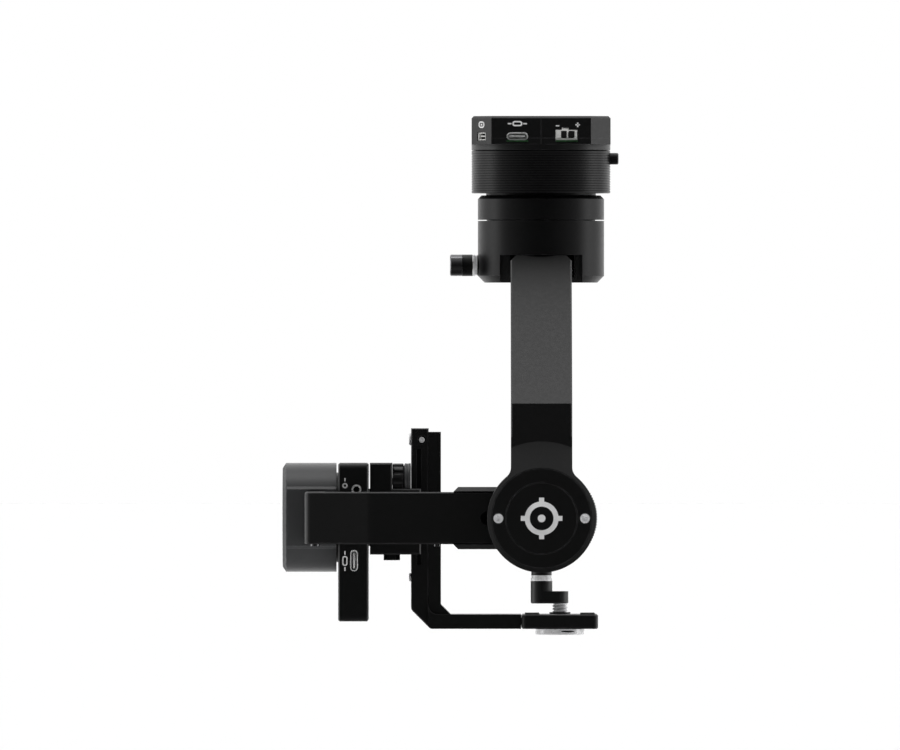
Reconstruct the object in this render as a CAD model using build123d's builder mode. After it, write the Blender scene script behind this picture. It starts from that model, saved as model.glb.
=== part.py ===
from build123d import *
import os
from math import cos, radians, sin

os.makedirs("parts", exist_ok=True)

# ---------------------------------------------------------------------------------------------
# Driving dimensions, in millimetres. X is to the right, Y is the camera's viewing direction, Z is up.
# The origin is the middle of the mounting head's flat top, on the pan axis.
# ---------------------------------------------------------------------------------------------
AXIS_Z = -167.0  # height of the roll axis (along Y) and of the tilt axis (along X)
GAP = 0.1  # running gap between flat faces that slide or turn past each other
FIT = 0.03  # radial clearance of a pin or shaft in its bore

# mounting head
HEAD_HALF = 28.9
HEAD_CORNER = 8.2
HEAD_SEAM_Z = -9.2
HEAD_FLOOR_Z = -11.7
DISC_Z = -14.0
WALL = 2.2
BOARD_TOP_Z = -10.1
BOARD_THICK = 0.6
MOUNT_SPACING = 40.0
M3_TAP_R = 1.25
DATA_PORT_X = -9.9
POWER_PORT_X = 10.5

# lock ring and neck
RING_TOP_Z = -14.15
RING_BOTTOM_Z = -32.0
RIB_PITCH = 1.042
FIRST_RIB_Z = -16.46
NECK_R = 22.9
BUTTON_Z = -17.6
BUTTON_R = 2.4

# pan motor
PAN_TOP_Z = -32.9
PAN_SEAM_Z = -43.0
PAN_LOWER_TOP_Z = -43.5
PAN_BOTTOM_Z = -69.2
PAN_R = 26.3
PAN_INNER_R = 24.2
PAN_WEB_Z = -35.2
PAN_FLOOR_Z = -55.2
CHANNEL_Z = -57.7
CHANNEL_HALF = 17.1
CHANNEL_END_Y = 19.5
PAN_LOCK_Z = -62.0
PAN_PIN_X = -21.5

# one motor size serves all three axes; heights are measured from the web that carries the hub
HUB_R = 7.5
BEARING_R = 5.5
SHAFT_R = 3.0
HUB_LENGTH = 9.9
STATOR_R = 15.4
MAGNET_R = 17.6
ROTOR_R = 19.2
ROTOR_RIM = 1.2
DISC_START = 10.6
DISC_END = 14.4
LOCK_STEP = 15  # degrees between two lock positions
LOCK_HOLE_HEIGHT = 12.2

# vertical arm and roll motor
ARM_HALF = 12.7
ARM_THICK = 9.0
TONGUE_TOP_Z = CHANNEL_Z - 0.2
TONGUE_END_Y = 16.0
ARM_FACE_Y = -87.0
SLOPE_START_Y = ARM_FACE_Y + 61.6
ROLL_FACE_Y = -93.0
ROLL_WEB_Y = -89.7
ROLL_BACK_Y = -74.0
ROLL_R = 22.5
ROLL_INNER_R = 20.0
COVER_R = 20.5
CONE_R = 31.8
COVER_SCREW_X = 17.9
FLANGE_Y = -71.5

# roll arm
BAR_NEAR_Y = FLANGE_Y + GAP
BAR_FAR_Y = -63.5
BAR_HALF = 10.8
BAR_RIGHT_X = 19.0
BAR_BEND_X = -71.4
BAR_CORNER_X = -96.3
BAR_LEFT_X = -98.1
BAR_CORNER_Y = -64.4
LEG_INNER_X = -89.5
SLOT_HALF = 3.0
CLAMP_HALF = 12.9
CLAMP_LEFT_X = -36.4
CLAMP_RIGHT_X = 18.0
CLAMP_FAR_Y = -60.2
KNOB_X = 3.3
KNOB_R = 20.0
KNOB_FAR_Y = -57.0

# tilt motor
TILT_LEFT_X = -107.6
TILT_RIGHT_X = -85.2
TILT_WEB_X = -104.5
TILT_R = 22.7
TILT_INNER_R = 20.5
TILT_NECK_R = 18.7
BOSS_Y = -24.6
BOSS_HALF = 12.8

# electronics case
CASE_LEFT_X = -84.4
CASE_RIGHT_X = -71.8
CASE_TOP_Z = -144.3
CASE_BOTTOM_Z = -210.2
CASE_HALF_Y = 25.0
CASE_BOARD_X = -79.5
JACK_X = -76.8
JACK_Z = -155.3
CASE_PORT_Z = -184.9

# rail clamp and camera bracket
BLOCK_LEFT_X = -71.2
BLOCK_RIGHT_X = -61.9
JAW_TOP_Z = -155.0
JAW_BOTTOM_Z = -182.4
JAW_RIGHT_X = -50.0
JAW_HALF_Y = 21.5
RAIL_LEFT_X = -54.1
RAIL_RIGHT_X = -46.8
RAIL_TOP_Z = -129.9
RAIL_HALF_Y = 18.0
GROOVE_LEFT_X = -51.7
GROOVE_DEPTH = 2.5
GROOVE_TOP_Z = -138.3
GROOVE_BOTTOM_Z = -186.7
RAIL_KNOB_Y = -13.5
RAIL_KNOB_Z = -151.9
WEB_RIGHT_X = -41.7
FOOT_TOP_Z = -207.3
FOOT_BOTTOM_Z = -213.3
FOOT_RIGHT_X = -8.3
TRAY_RIGHT_X = 23.7
TRAY_HALF_Y = 24.0
SCREW_X = 7.9
SCREW_R = 3.175
SCREW_TOP_Z = -201.8
SCREW_HEAD_R = 10.2
SCREW_HEAD_Z = -215.9

# planes that the turned parts are drawn on: each looks along its motor's axis, away from the web
PAN_PLANE = Plane(origin=(0, 0, PAN_WEB_Z), x_dir=(1, 0, 0), z_dir=(0, 0, -1))
ROLL_PLANE = Plane(origin=(0, ROLL_WEB_Y, AXIS_Z), x_dir=(1, 0, 0), z_dir=(0, 1, 0))
TILT_PLANE = Plane(origin=(TILT_WEB_X, 0, AXIS_Z), x_dir=(0, 1, 0), z_dir=(1, 0, 0))


def near_plane(y):
    """The plane at a given Y that faces the viewer: its own x is X, its own y is Z, and it looks along -Y."""
    return Plane.XZ.offset(-y)


def disc(plane, start, end, radius):
    """A disc along a plane's normal, joined to the part being built."""
    with BuildSketch(plane.offset(start)) as outline:
        Circle(radius)
    extrude(outline.sketch, amount=end - start)


def bore(plane, start, end, radius):
    """A round hole along a plane's normal, cut from the part being built."""
    with BuildSketch(plane.offset(start)) as outline:
        Circle(radius)
    extrude(outline.sketch, amount=end - start, mode=Mode.SUBTRACT)


def chamfered_square(half, corner, z):
    """A square outline with its corners cut at 45 degrees, at height z."""
    with BuildSketch(Plane.XY.offset(z)) as outline:
        Rectangle(2 * half, 2 * half)
        chamfer(outline.vertices(), corner)
    return outline.sketch


def socket_screw(plane, head_r, head_length, shank_r, shank_length):
    """A socket screw: its head starts on the plane and rises from it, and its shank goes the other way."""
    with BuildPart() as screw:
        disc(plane, 0, head_length, head_r)
        with BuildSketch(plane.offset(head_length)):
            RegularPolygon(radius=head_r * 0.52, side_count=6)
        extrude(amount=-head_length * 0.6, mode=Mode.SUBTRACT)
        disc(plane, -shank_length, 0, shank_r)
    return screw.part


# ---------------------------------------------------------------------------------------------
# Mounting head
# ---------------------------------------------------------------------------------------------
HEAD_TOP_THICK = 2.5
HEAD_POSTS = [(23, 8), (23, -8), (-23, 8), (-23, -8)]
POST_R = 2.6
HEAD_SCREW_R = 1.2
PORT_WIDTH = 8.94
PORT_HEIGHT = 3.3
POWER_WIDTH = 9.0
POWER_HEIGHT = 4.3
KEY_X = POWER_PORT_X - 0.5
POWER_SOCKET_X = POWER_PORT_X + 0.4
POWER_PITCH = 2.7
FACET_DISTANCE = (2 * HEAD_HALF - HEAD_CORNER) * cos(radians(45))
SIDE_PORT_Z = -8.5
FACET_PLANE = Plane(
    origin=(-FACET_DISTANCE * cos(radians(45)), -FACET_DISTANCE * sin(radians(45)), SIDE_PORT_Z),
    x_dir=(1, -1, 0),
    z_dir=(-1, -1, 0),
)
data_port_z = BOARD_TOP_Z + PORT_HEIGHT / 2 + 0.02
power_port_z = BOARD_TOP_Z + POWER_HEIGHT / 2 + 0.02


def port_windows():
    """The windows that the ports and the board's edge show through, cut from the part being built."""
    margin = 0.15
    with BuildSketch(near_plane(-HEAD_HALF - 1)) as windows:
        with Locations((DATA_PORT_X, data_port_z)):
            RectangleRounded(PORT_WIDTH + 2 * margin, PORT_HEIGHT + 2 * margin, 1.6)
        with Locations((POWER_PORT_X, power_port_z)):
            Rectangle(POWER_WIDTH + 2 * margin, POWER_HEIGHT + 2 * margin)
        with Locations((KEY_X, power_port_z + POWER_HEIGHT / 2 + 0.45)):
            Rectangle(3.1, 1.4)
        for x, width in ((DATA_PORT_X, PORT_WIDTH), (POWER_PORT_X, POWER_WIDTH)):
            with Locations((x, BOARD_TOP_Z - BOARD_THICK / 2)):
                Rectangle(width + 0.2, BOARD_THICK + 0.2)
    extrude(windows.sketch, amount=-(WALL + 1.5), mode=Mode.SUBTRACT)


def side_window():
    """The window of the small connector on the left corner facet, cut from the part being built."""
    with BuildSketch(FACET_PLANE.offset(1)) as window:
        Rectangle(4.9, 3.4)
    extrude(window.sketch, amount=-5, mode=Mode.SUBTRACT)


def front_seam():
    """The hairline joint down the middle of the head's near face, cut from the part being built."""
    with BuildSketch(near_plane(-HEAD_HALF)) as seam:
        with Locations((0, HEAD_FLOOR_Z / 2)):
            Rectangle(0.22, -HEAD_FLOOR_Z)
    extrude(seam.sketch, amount=-0.3, mode=Mode.SUBTRACT)


with BuildPart() as head_shell:
    extrude(chamfered_square(HEAD_HALF, HEAD_CORNER, HEAD_SEAM_Z), amount=-HEAD_SEAM_Z)
    chamfer(head_shell.faces().sort_by(Axis.Z)[-1].edges(), 0.9)
    cavity = chamfered_square(HEAD_HALF - WALL, HEAD_CORNER - 0.6 * WALL, HEAD_SEAM_Z)
    extrude(cavity, amount=-HEAD_SEAM_Z - HEAD_TOP_THICK, mode=Mode.SUBTRACT)
    with BuildSketch(Plane.XY.offset(-HEAD_TOP_THICK)):
        with GridLocations(MOUNT_SPACING, MOUNT_SPACING, 2, 2):
            Circle(3.2)
    extrude(amount=-4.5)
    with BuildSketch(Plane.XY.offset(-HEAD_TOP_THICK)):
        with Locations(*HEAD_POSTS):
            Circle(POST_R)
    extrude(amount=HEAD_SEAM_Z + HEAD_TOP_THICK)
    with BuildSketch(Plane.XY):
        with GridLocations(MOUNT_SPACING, MOUNT_SPACING, 2, 2):
            Circle(M3_TAP_R)
    extrude(amount=-6, mode=Mode.SUBTRACT)
    with BuildSketch(Plane.XY.offset(HEAD_SEAM_Z)):
        with Locations(*HEAD_POSTS):
            Circle(HEAD_SCREW_R)
    extrude(amount=4, mode=Mode.SUBTRACT)
    port_windows()
    side_window()
    front_seam()
head_shell.part.label = "head_shell"
export_step(head_shell.part, "parts/head_shell.step")

with BuildPart() as head_base:
    extrude(chamfered_square(HEAD_HALF, HEAD_CORNER, HEAD_FLOOR_Z), amount=HEAD_SEAM_Z - HEAD_FLOOR_Z)
    disc(Plane.XY, DISC_Z, HEAD_FLOOR_Z, HEAD_HALF)
    with BuildSketch(Plane.XY.offset(HEAD_SEAM_Z)):
        with Locations((0, -12.2)):
            Rectangle(34.4, 29)
    extrude(amount=BOARD_TOP_Z - BOARD_THICK - 0.05 - HEAD_SEAM_Z, mode=Mode.SUBTRACT)
    port_windows()
    side_window()
    front_seam()
    with BuildSketch(Plane.XY.offset(DISC_Z)):
        with Locations(*HEAD_POSTS):
            Circle(HEAD_SCREW_R + 0.15)
    extrude(amount=HEAD_SEAM_Z - DISC_Z, mode=Mode.SUBTRACT)
    with BuildSketch(Plane.XY.offset(DISC_Z)):
        with Locations(*HEAD_POSTS):
            Circle(2.3)
    extrude(amount=1.6, mode=Mode.SUBTRACT)
    bore(Plane.XY, DISC_Z, HEAD_SEAM_Z, 4)
head_base.part.label = "head_base"
export_step(head_base.part, "parts/head_base.step")

with BuildPart() as head_board:
    with BuildSketch(Plane.XY.offset(BOARD_TOP_Z - BOARD_THICK)):
        with Locations((0, -11.9)):
            Rectangle(33.8, 28)
        for x, width in ((DATA_PORT_X, PORT_WIDTH), (POWER_PORT_X, POWER_WIDTH)):
            with Locations((x, 1 - HEAD_HALF)):
                Rectangle(width, 6)
        Circle(4, mode=Mode.SUBTRACT)
    extrude(amount=BOARD_THICK)
head_board.part.label = "head_board"
export_step(head_board.part, "parts/head_board.step")

with BuildPart() as data_port:
    with BuildSketch(near_plane(0.5 - HEAD_HALF)):
        with Locations((DATA_PORT_X, data_port_z)):
            RectangleRounded(PORT_WIDTH, PORT_HEIGHT, 1.55)
    extrude(amount=-7.3)
    with BuildSketch(near_plane(0.5 - HEAD_HALF)):
        with Locations((DATA_PORT_X, data_port_z)):
            RectangleRounded(PORT_WIDTH - 0.7, PORT_HEIGHT - 0.7, 1.25)
            Rectangle(6.3, 0.75, mode=Mode.SUBTRACT)
    extrude(amount=-6, mode=Mode.SUBTRACT)
data_port.part.label = "data_port"
export_step(data_port.part, "parts/data_port.step")

with BuildPart() as power_connector:
    with BuildSketch(near_plane(0.3 - HEAD_HALF)):
        with Locations((POWER_PORT_X, power_port_z)):
            Rectangle(POWER_WIDTH, POWER_HEIGHT)
        with Locations((KEY_X, power_port_z + POWER_HEIGHT / 2 + 0.4)):
            Rectangle(2.8, 1.2)
    extrude(amount=-9)
    with BuildSketch(near_plane(0.3 - HEAD_HALF)):
        with Locations((POWER_SOCKET_X, power_port_z)):
            with GridLocations(POWER_PITCH, 1, 2, 1):
                Rectangle(2.2, 2.7)
    extrude(amount=-7.5, mode=Mode.SUBTRACT)
power_connector.part.label = "power_connector"
export_step(power_connector.part, "parts/power_connector.step")

with BuildPart() as power_pins:
    with BuildSketch(near_plane(2.5 - HEAD_HALF)):
        with Locations((POWER_SOCKET_X, power_port_z)):
            with GridLocations(POWER_PITCH, 1, 2, 1):
                Rectangle(0.9, 0.9)
    extrude(amount=-5.3)
power_pins.part.label = "power_pins"
export_step(power_pins.part, "parts/power_pins.step")

with BuildPart() as side_connector:
    with BuildSketch(FACET_PLANE.offset(-0.3)):
        Rectangle(4.8, 3.3)
    extrude(amount=-3)
    with BuildSketch(FACET_PLANE.offset(-0.3)):
        Rectangle(4.0, 2.3)
    extrude(amount=-2.2, mode=Mode.SUBTRACT)
side_connector.part.label = "side_connector"
export_step(side_connector.part, "parts/side_connector.step")

head_screw_list = [
    socket_screw(
        Plane(origin=(x, y, DISC_Z + 1.55), x_dir=(1, 0, 0), z_dir=(0, 0, -1)), 2.2, 1.4, 1.15, 6.5
    )
    for x, y in HEAD_POSTS
]
head_screws = Compound(label="head_screws", children=head_screw_list)
export_step(head_screws, "parts/head_screws.step")

# ---------------------------------------------------------------------------------------------
# Neck, lock ring and release button
# ---------------------------------------------------------------------------------------------
BUTTON_PLANE = Plane(origin=(0, 0, BUTTON_Z), x_dir=(0, 1, 0), z_dir=(1, 0, 0))
CABLE_R = 13.0

with BuildPart() as neck:
    disc(Plane.XY, PAN_TOP_Z, DISC_Z, NECK_R)
    with BuildSketch(Plane.XY.offset(BUTTON_Z - BUTTON_R - 0.4)):
        Circle(NECK_R + 1)
        Circle(NECK_R - 3, mode=Mode.SUBTRACT)
    extrude(amount=2 * BUTTON_R + 0.8, mode=Mode.SUBTRACT)
    bore(Plane.XY, PAN_TOP_Z, DISC_Z, CABLE_R)
neck.part.label = "neck"
export_step(neck.part, "parts/neck.step")

with BuildPart() as lock_ring:
    disc(Plane.XY, RING_BOTTOM_Z, RING_TOP_Z, HEAD_HALF)
    bore(Plane.XY, RING_BOTTOM_Z, RING_TOP_Z, NECK_R + GAP)
    chamfer(lock_ring.edges().filter_by(GeomType.CIRCLE).group_by(SortBy.RADIUS)[-1], 0.3)
    rib_count = int((FIRST_RIB_Z - RING_BOTTOM_Z) / RIB_PITCH) + 1
    for i in range(rib_count):
        with BuildSketch(Plane.XY.offset(FIRST_RIB_Z - i * RIB_PITCH)):
            Circle(HEAD_HALF + 1)
            Circle(HEAD_HALF - 0.25, mode=Mode.SUBTRACT)
        extrude(amount=0.35, mode=Mode.SUBTRACT)
    bore(BUTTON_PLANE, NECK_R - 1, HEAD_HALF + 1, BUTTON_R + 0.05)
lock_ring.part.label = "lock_ring"
export_step(lock_ring.part, "parts/lock_ring.step")

BUTTON_OUT_X = 32.3
BUTTON_IN_X = NECK_R - 0.4
with BuildPart() as release_button:
    disc(BUTTON_PLANE, BUTTON_IN_X, BUTTON_OUT_X, BUTTON_R)
    chamfer(release_button.faces().sort_by(Axis.X)[-1].edges(), 0.4)
release_button.part.label = "release_button"
export_step(release_button.part, "parts/release_button.step")


# ---------------------------------------------------------------------------------------------
# Motor parts: the same kit serves the pan, roll and tilt axes
# ---------------------------------------------------------------------------------------------
SLOTS = 12
POLES = 14


def make_stator(plane):
    """Laminated core: a yoke on the hub, twelve teeth and their tips."""
    with BuildPart() as core:
        with BuildSketch(plane.offset(2.0)):
            Circle(9.8)
            with PolarLocations(12.2, SLOTS):
                Rectangle(5.6, 2.3)
            with PolarLocations(14.95, SLOTS):
                Rectangle(0.9, 6.2)
            Circle(HUB_R + 0.02, mode=Mode.SUBTRACT)
        extrude(amount=6.5)
    return core.part


def make_coils(plane):
    """Twelve wound coils, one round each tooth."""
    with BuildPart() as coils:
        with BuildSketch(plane.offset(0.8)):
            with PolarLocations(12.2, SLOTS):
                Rectangle(3.6, 4.5)
        extrude(amount=8.9)
        with BuildSketch(plane.offset(1.95)):
            with PolarLocations(12.2, SLOTS):
                Rectangle(4.0, 2.4)
        extrude(amount=6.6, mode=Mode.SUBTRACT)
    return coils.part


def make_magnets(plane):
    """Fourteen curved magnets inside the rotor cup."""
    with BuildPart() as magnets:
        with BuildSketch(plane.offset(1.5)):
            Circle(MAGNET_R - 0.05)
            Circle(16.0, mode=Mode.SUBTRACT)
            with PolarLocations(16.8, POLES):
                Rectangle(3.0, 0.8, mode=Mode.SUBTRACT)
        extrude(amount=8)
    return magnets.part


def make_bearings(plane):
    """Two ball bearings in the hub, each drawn as one ring with its shield step."""
    with BuildPart() as bearings:
        for start in (0.5, 6.5):
            with BuildSketch(plane.offset(start)):
                Circle(BEARING_R - 0.02)
                Circle(SHAFT_R + 0.02, mode=Mode.SUBTRACT)
            extrude(amount=3)
    return bearings.part


def make_rotor(plane, boss_r, boss_end, holes=False):
    """Rotor cup: hollow shaft, ring of lock holes in its disc, and the boss that carries the load."""
    with BuildPart() as rotor:
        disc(plane, ROTOR_RIM, DISC_END, ROTOR_R)
        bore(plane, ROTOR_RIM, DISC_START, MAGNET_R)
        disc(plane, DISC_END, boss_end, boss_r)
        disc(plane, 0.3, DISC_START, SHAFT_R - 0.02)
        bore(plane, 0.3, DISC_END, 1.5)
        if holes:
            for angle in range(0, 360, LOCK_STEP):
                way = Plane(
                    origin=plane.from_local_coords((0, 0, LOCK_HOLE_HEIGHT)),
                    x_dir=plane.z_dir,
                    z_dir=plane.x_dir * cos(radians(angle)) + plane.y_dir * sin(radians(angle)),
                )
                bore(way, ROTOR_R - 2.5, ROTOR_R + 1, 1.3)
    return rotor.part


def hub(plane):
    """The bearing tube that stands on a motor housing's web, joined to the part being built."""
    disc(plane, -0.5, HUB_LENGTH, HUB_R)
    bore(plane, -2, HUB_LENGTH, BEARING_R)


for prefix, plane in (("pan", PAN_PLANE), ("roll", ROLL_PLANE), ("tilt", TILT_PLANE)):
    stator = make_stator(plane)
    stator.label = prefix + "_stator"
    export_step(stator, f"parts/{prefix}_stator.step")
    coils = make_coils(plane)
    coils.label = prefix + "_coils"
    export_step(coils, f"parts/{prefix}_coils.step")
    magnets = make_magnets(plane)
    magnets.label = prefix + "_magnets"
    export_step(magnets, f"parts/{prefix}_magnets.step")
    bearings = make_bearings(plane)
    bearings.label = prefix + "_bearings"
    export_step(bearings, f"parts/{prefix}_bearings.step")

for prefix, plane, boss_r, boss_end in (
    ("pan", PAN_PLANE, 14.0, PAN_WEB_Z - PAN_FLOOR_Z - 0.05),
    ("tilt", TILT_PLANE, TILT_NECK_R, CASE_LEFT_X - TILT_WEB_X),
):
    rotor = make_rotor(plane, boss_r, boss_end)
    rotor.label = prefix + "_rotor"
    export_step(rotor, f"parts/{prefix}_rotor.step")

# ---------------------------------------------------------------------------------------------
# Pan motor housings
# ---------------------------------------------------------------------------------------------
SKIRT_OUTER_R = 22.6
SKIRT_INNER_R = 20.6
SKIRT_BOTTOM_Z = -53.5
LOCK_PIN_R = 1.0
LEVER_R = 4.5
LEVER_THICK = 5.1
LEVER_REACH = 11.1
COLLAR_R = 4.25
SPINDLE_R = 1.6
PAN_BOSS_END = 26.5
PAN_COLLAR_END = 28.4
PAN_LEVER_END = 37.9
ROLL_BOSS_END = 23.6
ROLL_COLLAR_END = 25.9
ROLL_LEVER_END = 35.3

with BuildPart() as pan_upper_housing:
    disc(Plane.XY, PAN_SEAM_Z, PAN_TOP_Z, PAN_R)
    chamfer(pan_upper_housing.faces().sort_by(Axis.Z)[-1].edges(), 1.5)
    bore(Plane.XY, PAN_SEAM_Z, PAN_WEB_Z, PAN_INNER_R)
    with BuildSketch(Plane.XY.offset(SKIRT_BOTTOM_Z)):
        Circle(SKIRT_OUTER_R)
        Circle(SKIRT_INNER_R, mode=Mode.SUBTRACT)
    extrude(amount=PAN_WEB_Z + 0.5 - SKIRT_BOTTOM_Z)
    with BuildSketch(Plane.XY.offset(SKIRT_BOTTOM_Z)):
        with PolarLocations(-PAN_PIN_X, 360 // LOCK_STEP):
            Rectangle(4, 2.6)
    extrude(amount=2.5, mode=Mode.SUBTRACT)
    hub(PAN_PLANE)
    bore(Plane.XY, PAN_WEB_Z - 1, PAN_TOP_Z, 4)
pan_upper_housing.part.label = "pan_upper_housing"
export_step(pan_upper_housing.part, "parts/pan_upper_housing.step")

PAN_LOCK_PLANE = Plane(origin=(0, 0, PAN_LOCK_Z), x_dir=(0, -1, 0), z_dir=(-1, 0, 0))
PIN_PLANE = Plane(origin=(PAN_PIN_X, 0, 0), x_dir=(1, 0, 0), z_dir=(0, 0, 1))
GRUB_Y = (3.0, 13.0)
GRUB_Z = -62.9
GRUB_R = 1.5
RAIL_SCREWS = [(x, y) for x in (-15.5, 15.5) for y in (-12.0, 12.0)]

with BuildPart() as pan_lower_housing:
    disc(Plane.XY, PAN_BOTTOM_Z, PAN_LOWER_TOP_Z, PAN_R)
    chamfer(pan_lower_housing.faces().sort_by(Axis.Z)[0].edges(), 2.8)
    bore(Plane.XY, PAN_FLOOR_Z, PAN_LOWER_TOP_Z, PAN_INNER_R)
    with BuildSketch(Plane.XY.offset(PAN_BOTTOM_Z)):
        with Locations((0, CHANNEL_END_Y)):
            Rectangle(2 * CHANNEL_HALF, 2 * PAN_R, align=(Align.CENTER, Align.MAX))
    extrude(amount=CHANNEL_Z - PAN_BOTTOM_Z, mode=Mode.SUBTRACT)
    disc(PAN_LOCK_PLANE, CHANNEL_HALF, PAN_BOSS_END, COLLAR_R)
    bore(PIN_PLANE, PAN_LOCK_Z, PAN_FLOOR_Z + 1, LOCK_PIN_R + FIT)
    bore(PAN_LOCK_PLANE, 18.5, PAN_BOSS_END, SPINDLE_R + FIT)
    for y in GRUB_Y:
        way = Plane(origin=(0, y, GRUB_Z), x_dir=(0, 1, 0), z_dir=(1, 0, 0))
        bore(way, CHANNEL_HALF - 1, PAN_R, GRUB_R)
    with BuildSketch(Plane.XY.offset(CHANNEL_Z - 1)):
        with Locations(*RAIL_SCREWS):
            Circle(1.0)
    extrude(amount=4, mode=Mode.SUBTRACT)
    with BuildSketch(Plane.XY.offset(CHANNEL_Z - 1)):
        Circle(4)
    extrude(amount=6, mode=Mode.SUBTRACT)
pan_lower_housing.part.label = "pan_lower_housing"
export_step(pan_lower_housing.part, "parts/pan_lower_housing.step")

# The tongue runs between two rails; the right one stands off by the width of its clamping gap.
RAIL_LENGTH = 34.0
with BuildPart() as arm_clamp_rails:
    for side, inner in ((-1, ARM_HALF + GAP), (1, ARM_HALF + 1.1)):
        with BuildSketch(Plane.XZ.offset(-RAIL_LENGTH / 2)):
            with Locations((side * (inner + CHANNEL_HALF) / 2, (CHANNEL_Z + PAN_BOTTOM_Z) / 2)):
                Rectangle(CHANNEL_HALF - inner, CHANNEL_Z - PAN_BOTTOM_Z)
            with Locations((side * (9 + CHANNEL_HALF) / 2, PAN_BOTTOM_Z + 1.05)):
                Rectangle(CHANNEL_HALF - 9, 2.1)
        extrude(amount=RAIL_LENGTH)
    for y in GRUB_Y:
        way = Plane(origin=(0, y, GRUB_Z), x_dir=(0, 1, 0), z_dir=(1, 0, 0))
        bore(way, ARM_HALF, CHANNEL_HALF + 1, GRUB_R)
    with BuildSketch(Plane.XY.offset(PAN_BOTTOM_Z)):
        with Locations(*RAIL_SCREWS):
            Circle(1.0)
    extrude(amount=CHANNEL_Z - PAN_BOTTOM_Z, mode=Mode.SUBTRACT)
    with BuildSketch(Plane.XY.offset(PAN_BOTTOM_Z)):
        with Locations(*RAIL_SCREWS):
            Circle(1.55)
    extrude(amount=1.3, mode=Mode.SUBTRACT)
arm_clamp_rails.part.label = "arm_clamp_rails"
export_step(arm_clamp_rails.part, "parts/arm_clamp_rails.step")

with BuildPart() as grub_screws:
    for y in GRUB_Y:
        way = Plane(origin=(0, y, GRUB_Z), x_dir=(0, 1, 0), z_dir=(1, 0, 0))
        disc(way, ARM_HALF + GAP, 20.5, GRUB_R - 0.02)
        with BuildSketch(way.offset(20.5)):
            RegularPolygon(radius=0.8, side_count=6)
        extrude(amount=-1.5, mode=Mode.SUBTRACT)

frame_screw_list = list(grub_screws.part.solids()) + [
    socket_screw(
        Plane(origin=(x, y, PAN_BOTTOM_Z + 1.3), x_dir=(1, 0, 0), z_dir=(0, 0, -1)), 1.5, 1.2, 0.98, 12.5
    )
    for x, y in RAIL_SCREWS
]
frame_screws = Compound(label="frame_screws", children=frame_screw_list)
export_step(frame_screws, "parts/frame_screws.step")


# ---------------------------------------------------------------------------------------------
# Motor locks: a collar with two bright rings, an L-shaped lever, and the pin that the lever lifts
# ---------------------------------------------------------------------------------------------
def make_collar(plane, start, end):
    """Two bright rings on the housing's boss, bored for the lever's spindle."""
    with BuildPart() as collar:
        disc(plane, start, end, COLLAR_R - 0.5)
        disc(plane, start, start + 0.4 * (end - start), COLLAR_R)
        disc(plane, end - 0.45 * (end - start), end, COLLAR_R)
        bore(plane, start, end, SPINDLE_R + FIT)
    return collar.part


def make_lever(plane, start, spindle_end, body_end):
    """Lever: a round body, a flat arm along the plane's own x, and a spindle that goes inwards."""
    with BuildPart() as lever:
        disc(plane, start, body_end, LEVER_R)
        with BuildSketch(plane.offset(body_end - LEVER_THICK)):
            with Locations(((LEVER_REACH - LEVER_R) / 2, 0)):
                Rectangle(LEVER_REACH - LEVER_R, 2 * LEVER_R)
            with Locations((LEVER_REACH - LEVER_R, 0)):
                Circle(LEVER_R)
        extrude(amount=LEVER_THICK)
        chamfer(lever.faces().sort_by(Axis(plane.origin, plane.z_dir))[-1].edges(), 0.4)
        disc(plane, spindle_end, start, SPINDLE_R)
    return lever.part


# pan lock: the lever's axis runs out to the left, and its arm points at the viewer
pan_lock_collar = make_collar(PAN_LOCK_PLANE, PAN_BOSS_END, PAN_COLLAR_END)
pan_lock_collar.label = "pan_lock_collar"
export_step(pan_lock_collar, "parts/pan_lock_collar.step")
pan_lock_lever = make_lever(PAN_LOCK_PLANE, PAN_COLLAR_END + GAP, 19.0, PAN_LEVER_END)
pan_lock_lever.label = "pan_lock_lever"
export_step(pan_lock_lever, "parts/pan_lock_lever.step")
with BuildPart() as pan_lock_pin:
    disc(PIN_PLANE, PAN_LOCK_Z + SPINDLE_R + GAP, SKIRT_BOTTOM_Z - 0.4, LOCK_PIN_R)
    chamfer(pan_lock_pin.faces().sort_by(Axis.Z)[-1].edges(), 0.25)
pan_lock_pin.part.label = "pan_lock_pin"
export_step(pan_lock_pin.part, "parts/pan_lock_pin.step")

# roll lock: the lever's axis runs down from the housing, and its arm points to the right
roll_lock_y = ROLL_WEB_Y + LOCK_HOLE_HEIGHT
roll_lever_plane = Plane(origin=(0, roll_lock_y, AXIS_Z), x_dir=(1, 0, 0), z_dir=(0, 0, -1))
roll_lock_collar = make_collar(roll_lever_plane, ROLL_BOSS_END, ROLL_COLLAR_END)
roll_lock_collar.label = "roll_lock_collar"
export_step(roll_lock_collar, "parts/roll_lock_collar.step")
roll_lock_lever = make_lever(roll_lever_plane, ROLL_COLLAR_END + GAP, ROLL_R, ROLL_LEVER_END)
roll_lock_lever.label = "roll_lock_lever"
export_step(roll_lock_lever, "parts/roll_lock_lever.step")
with BuildPart() as roll_lock_pin:
    disc(roll_lever_plane, ROTOR_R + 0.4, ROLL_R - 0.2, LOCK_PIN_R)
roll_lock_pin.part.label = "roll_lock_pin"
export_step(roll_lock_pin.part, "parts/roll_lock_pin.step")

# ---------------------------------------------------------------------------------------------
# Vertical arm with the roll motor's housing
# ---------------------------------------------------------------------------------------------
BEND_OFFSET = ARM_THICK * 0.4142  # a 45 degree bend moves the inner corner by thickness x tan(22.5)
slope_end_z = TONGUE_TOP_Z + ARM_FACE_Y - SLOPE_START_Y
arm_inner_y = ARM_FACE_Y + ARM_THICK
tongue_bottom_z = TONGUE_TOP_Z - ARM_THICK
ARM_LOW_Z = -150.0
COVER_BACK_Y = ROLL_WEB_Y - 1.5

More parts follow.
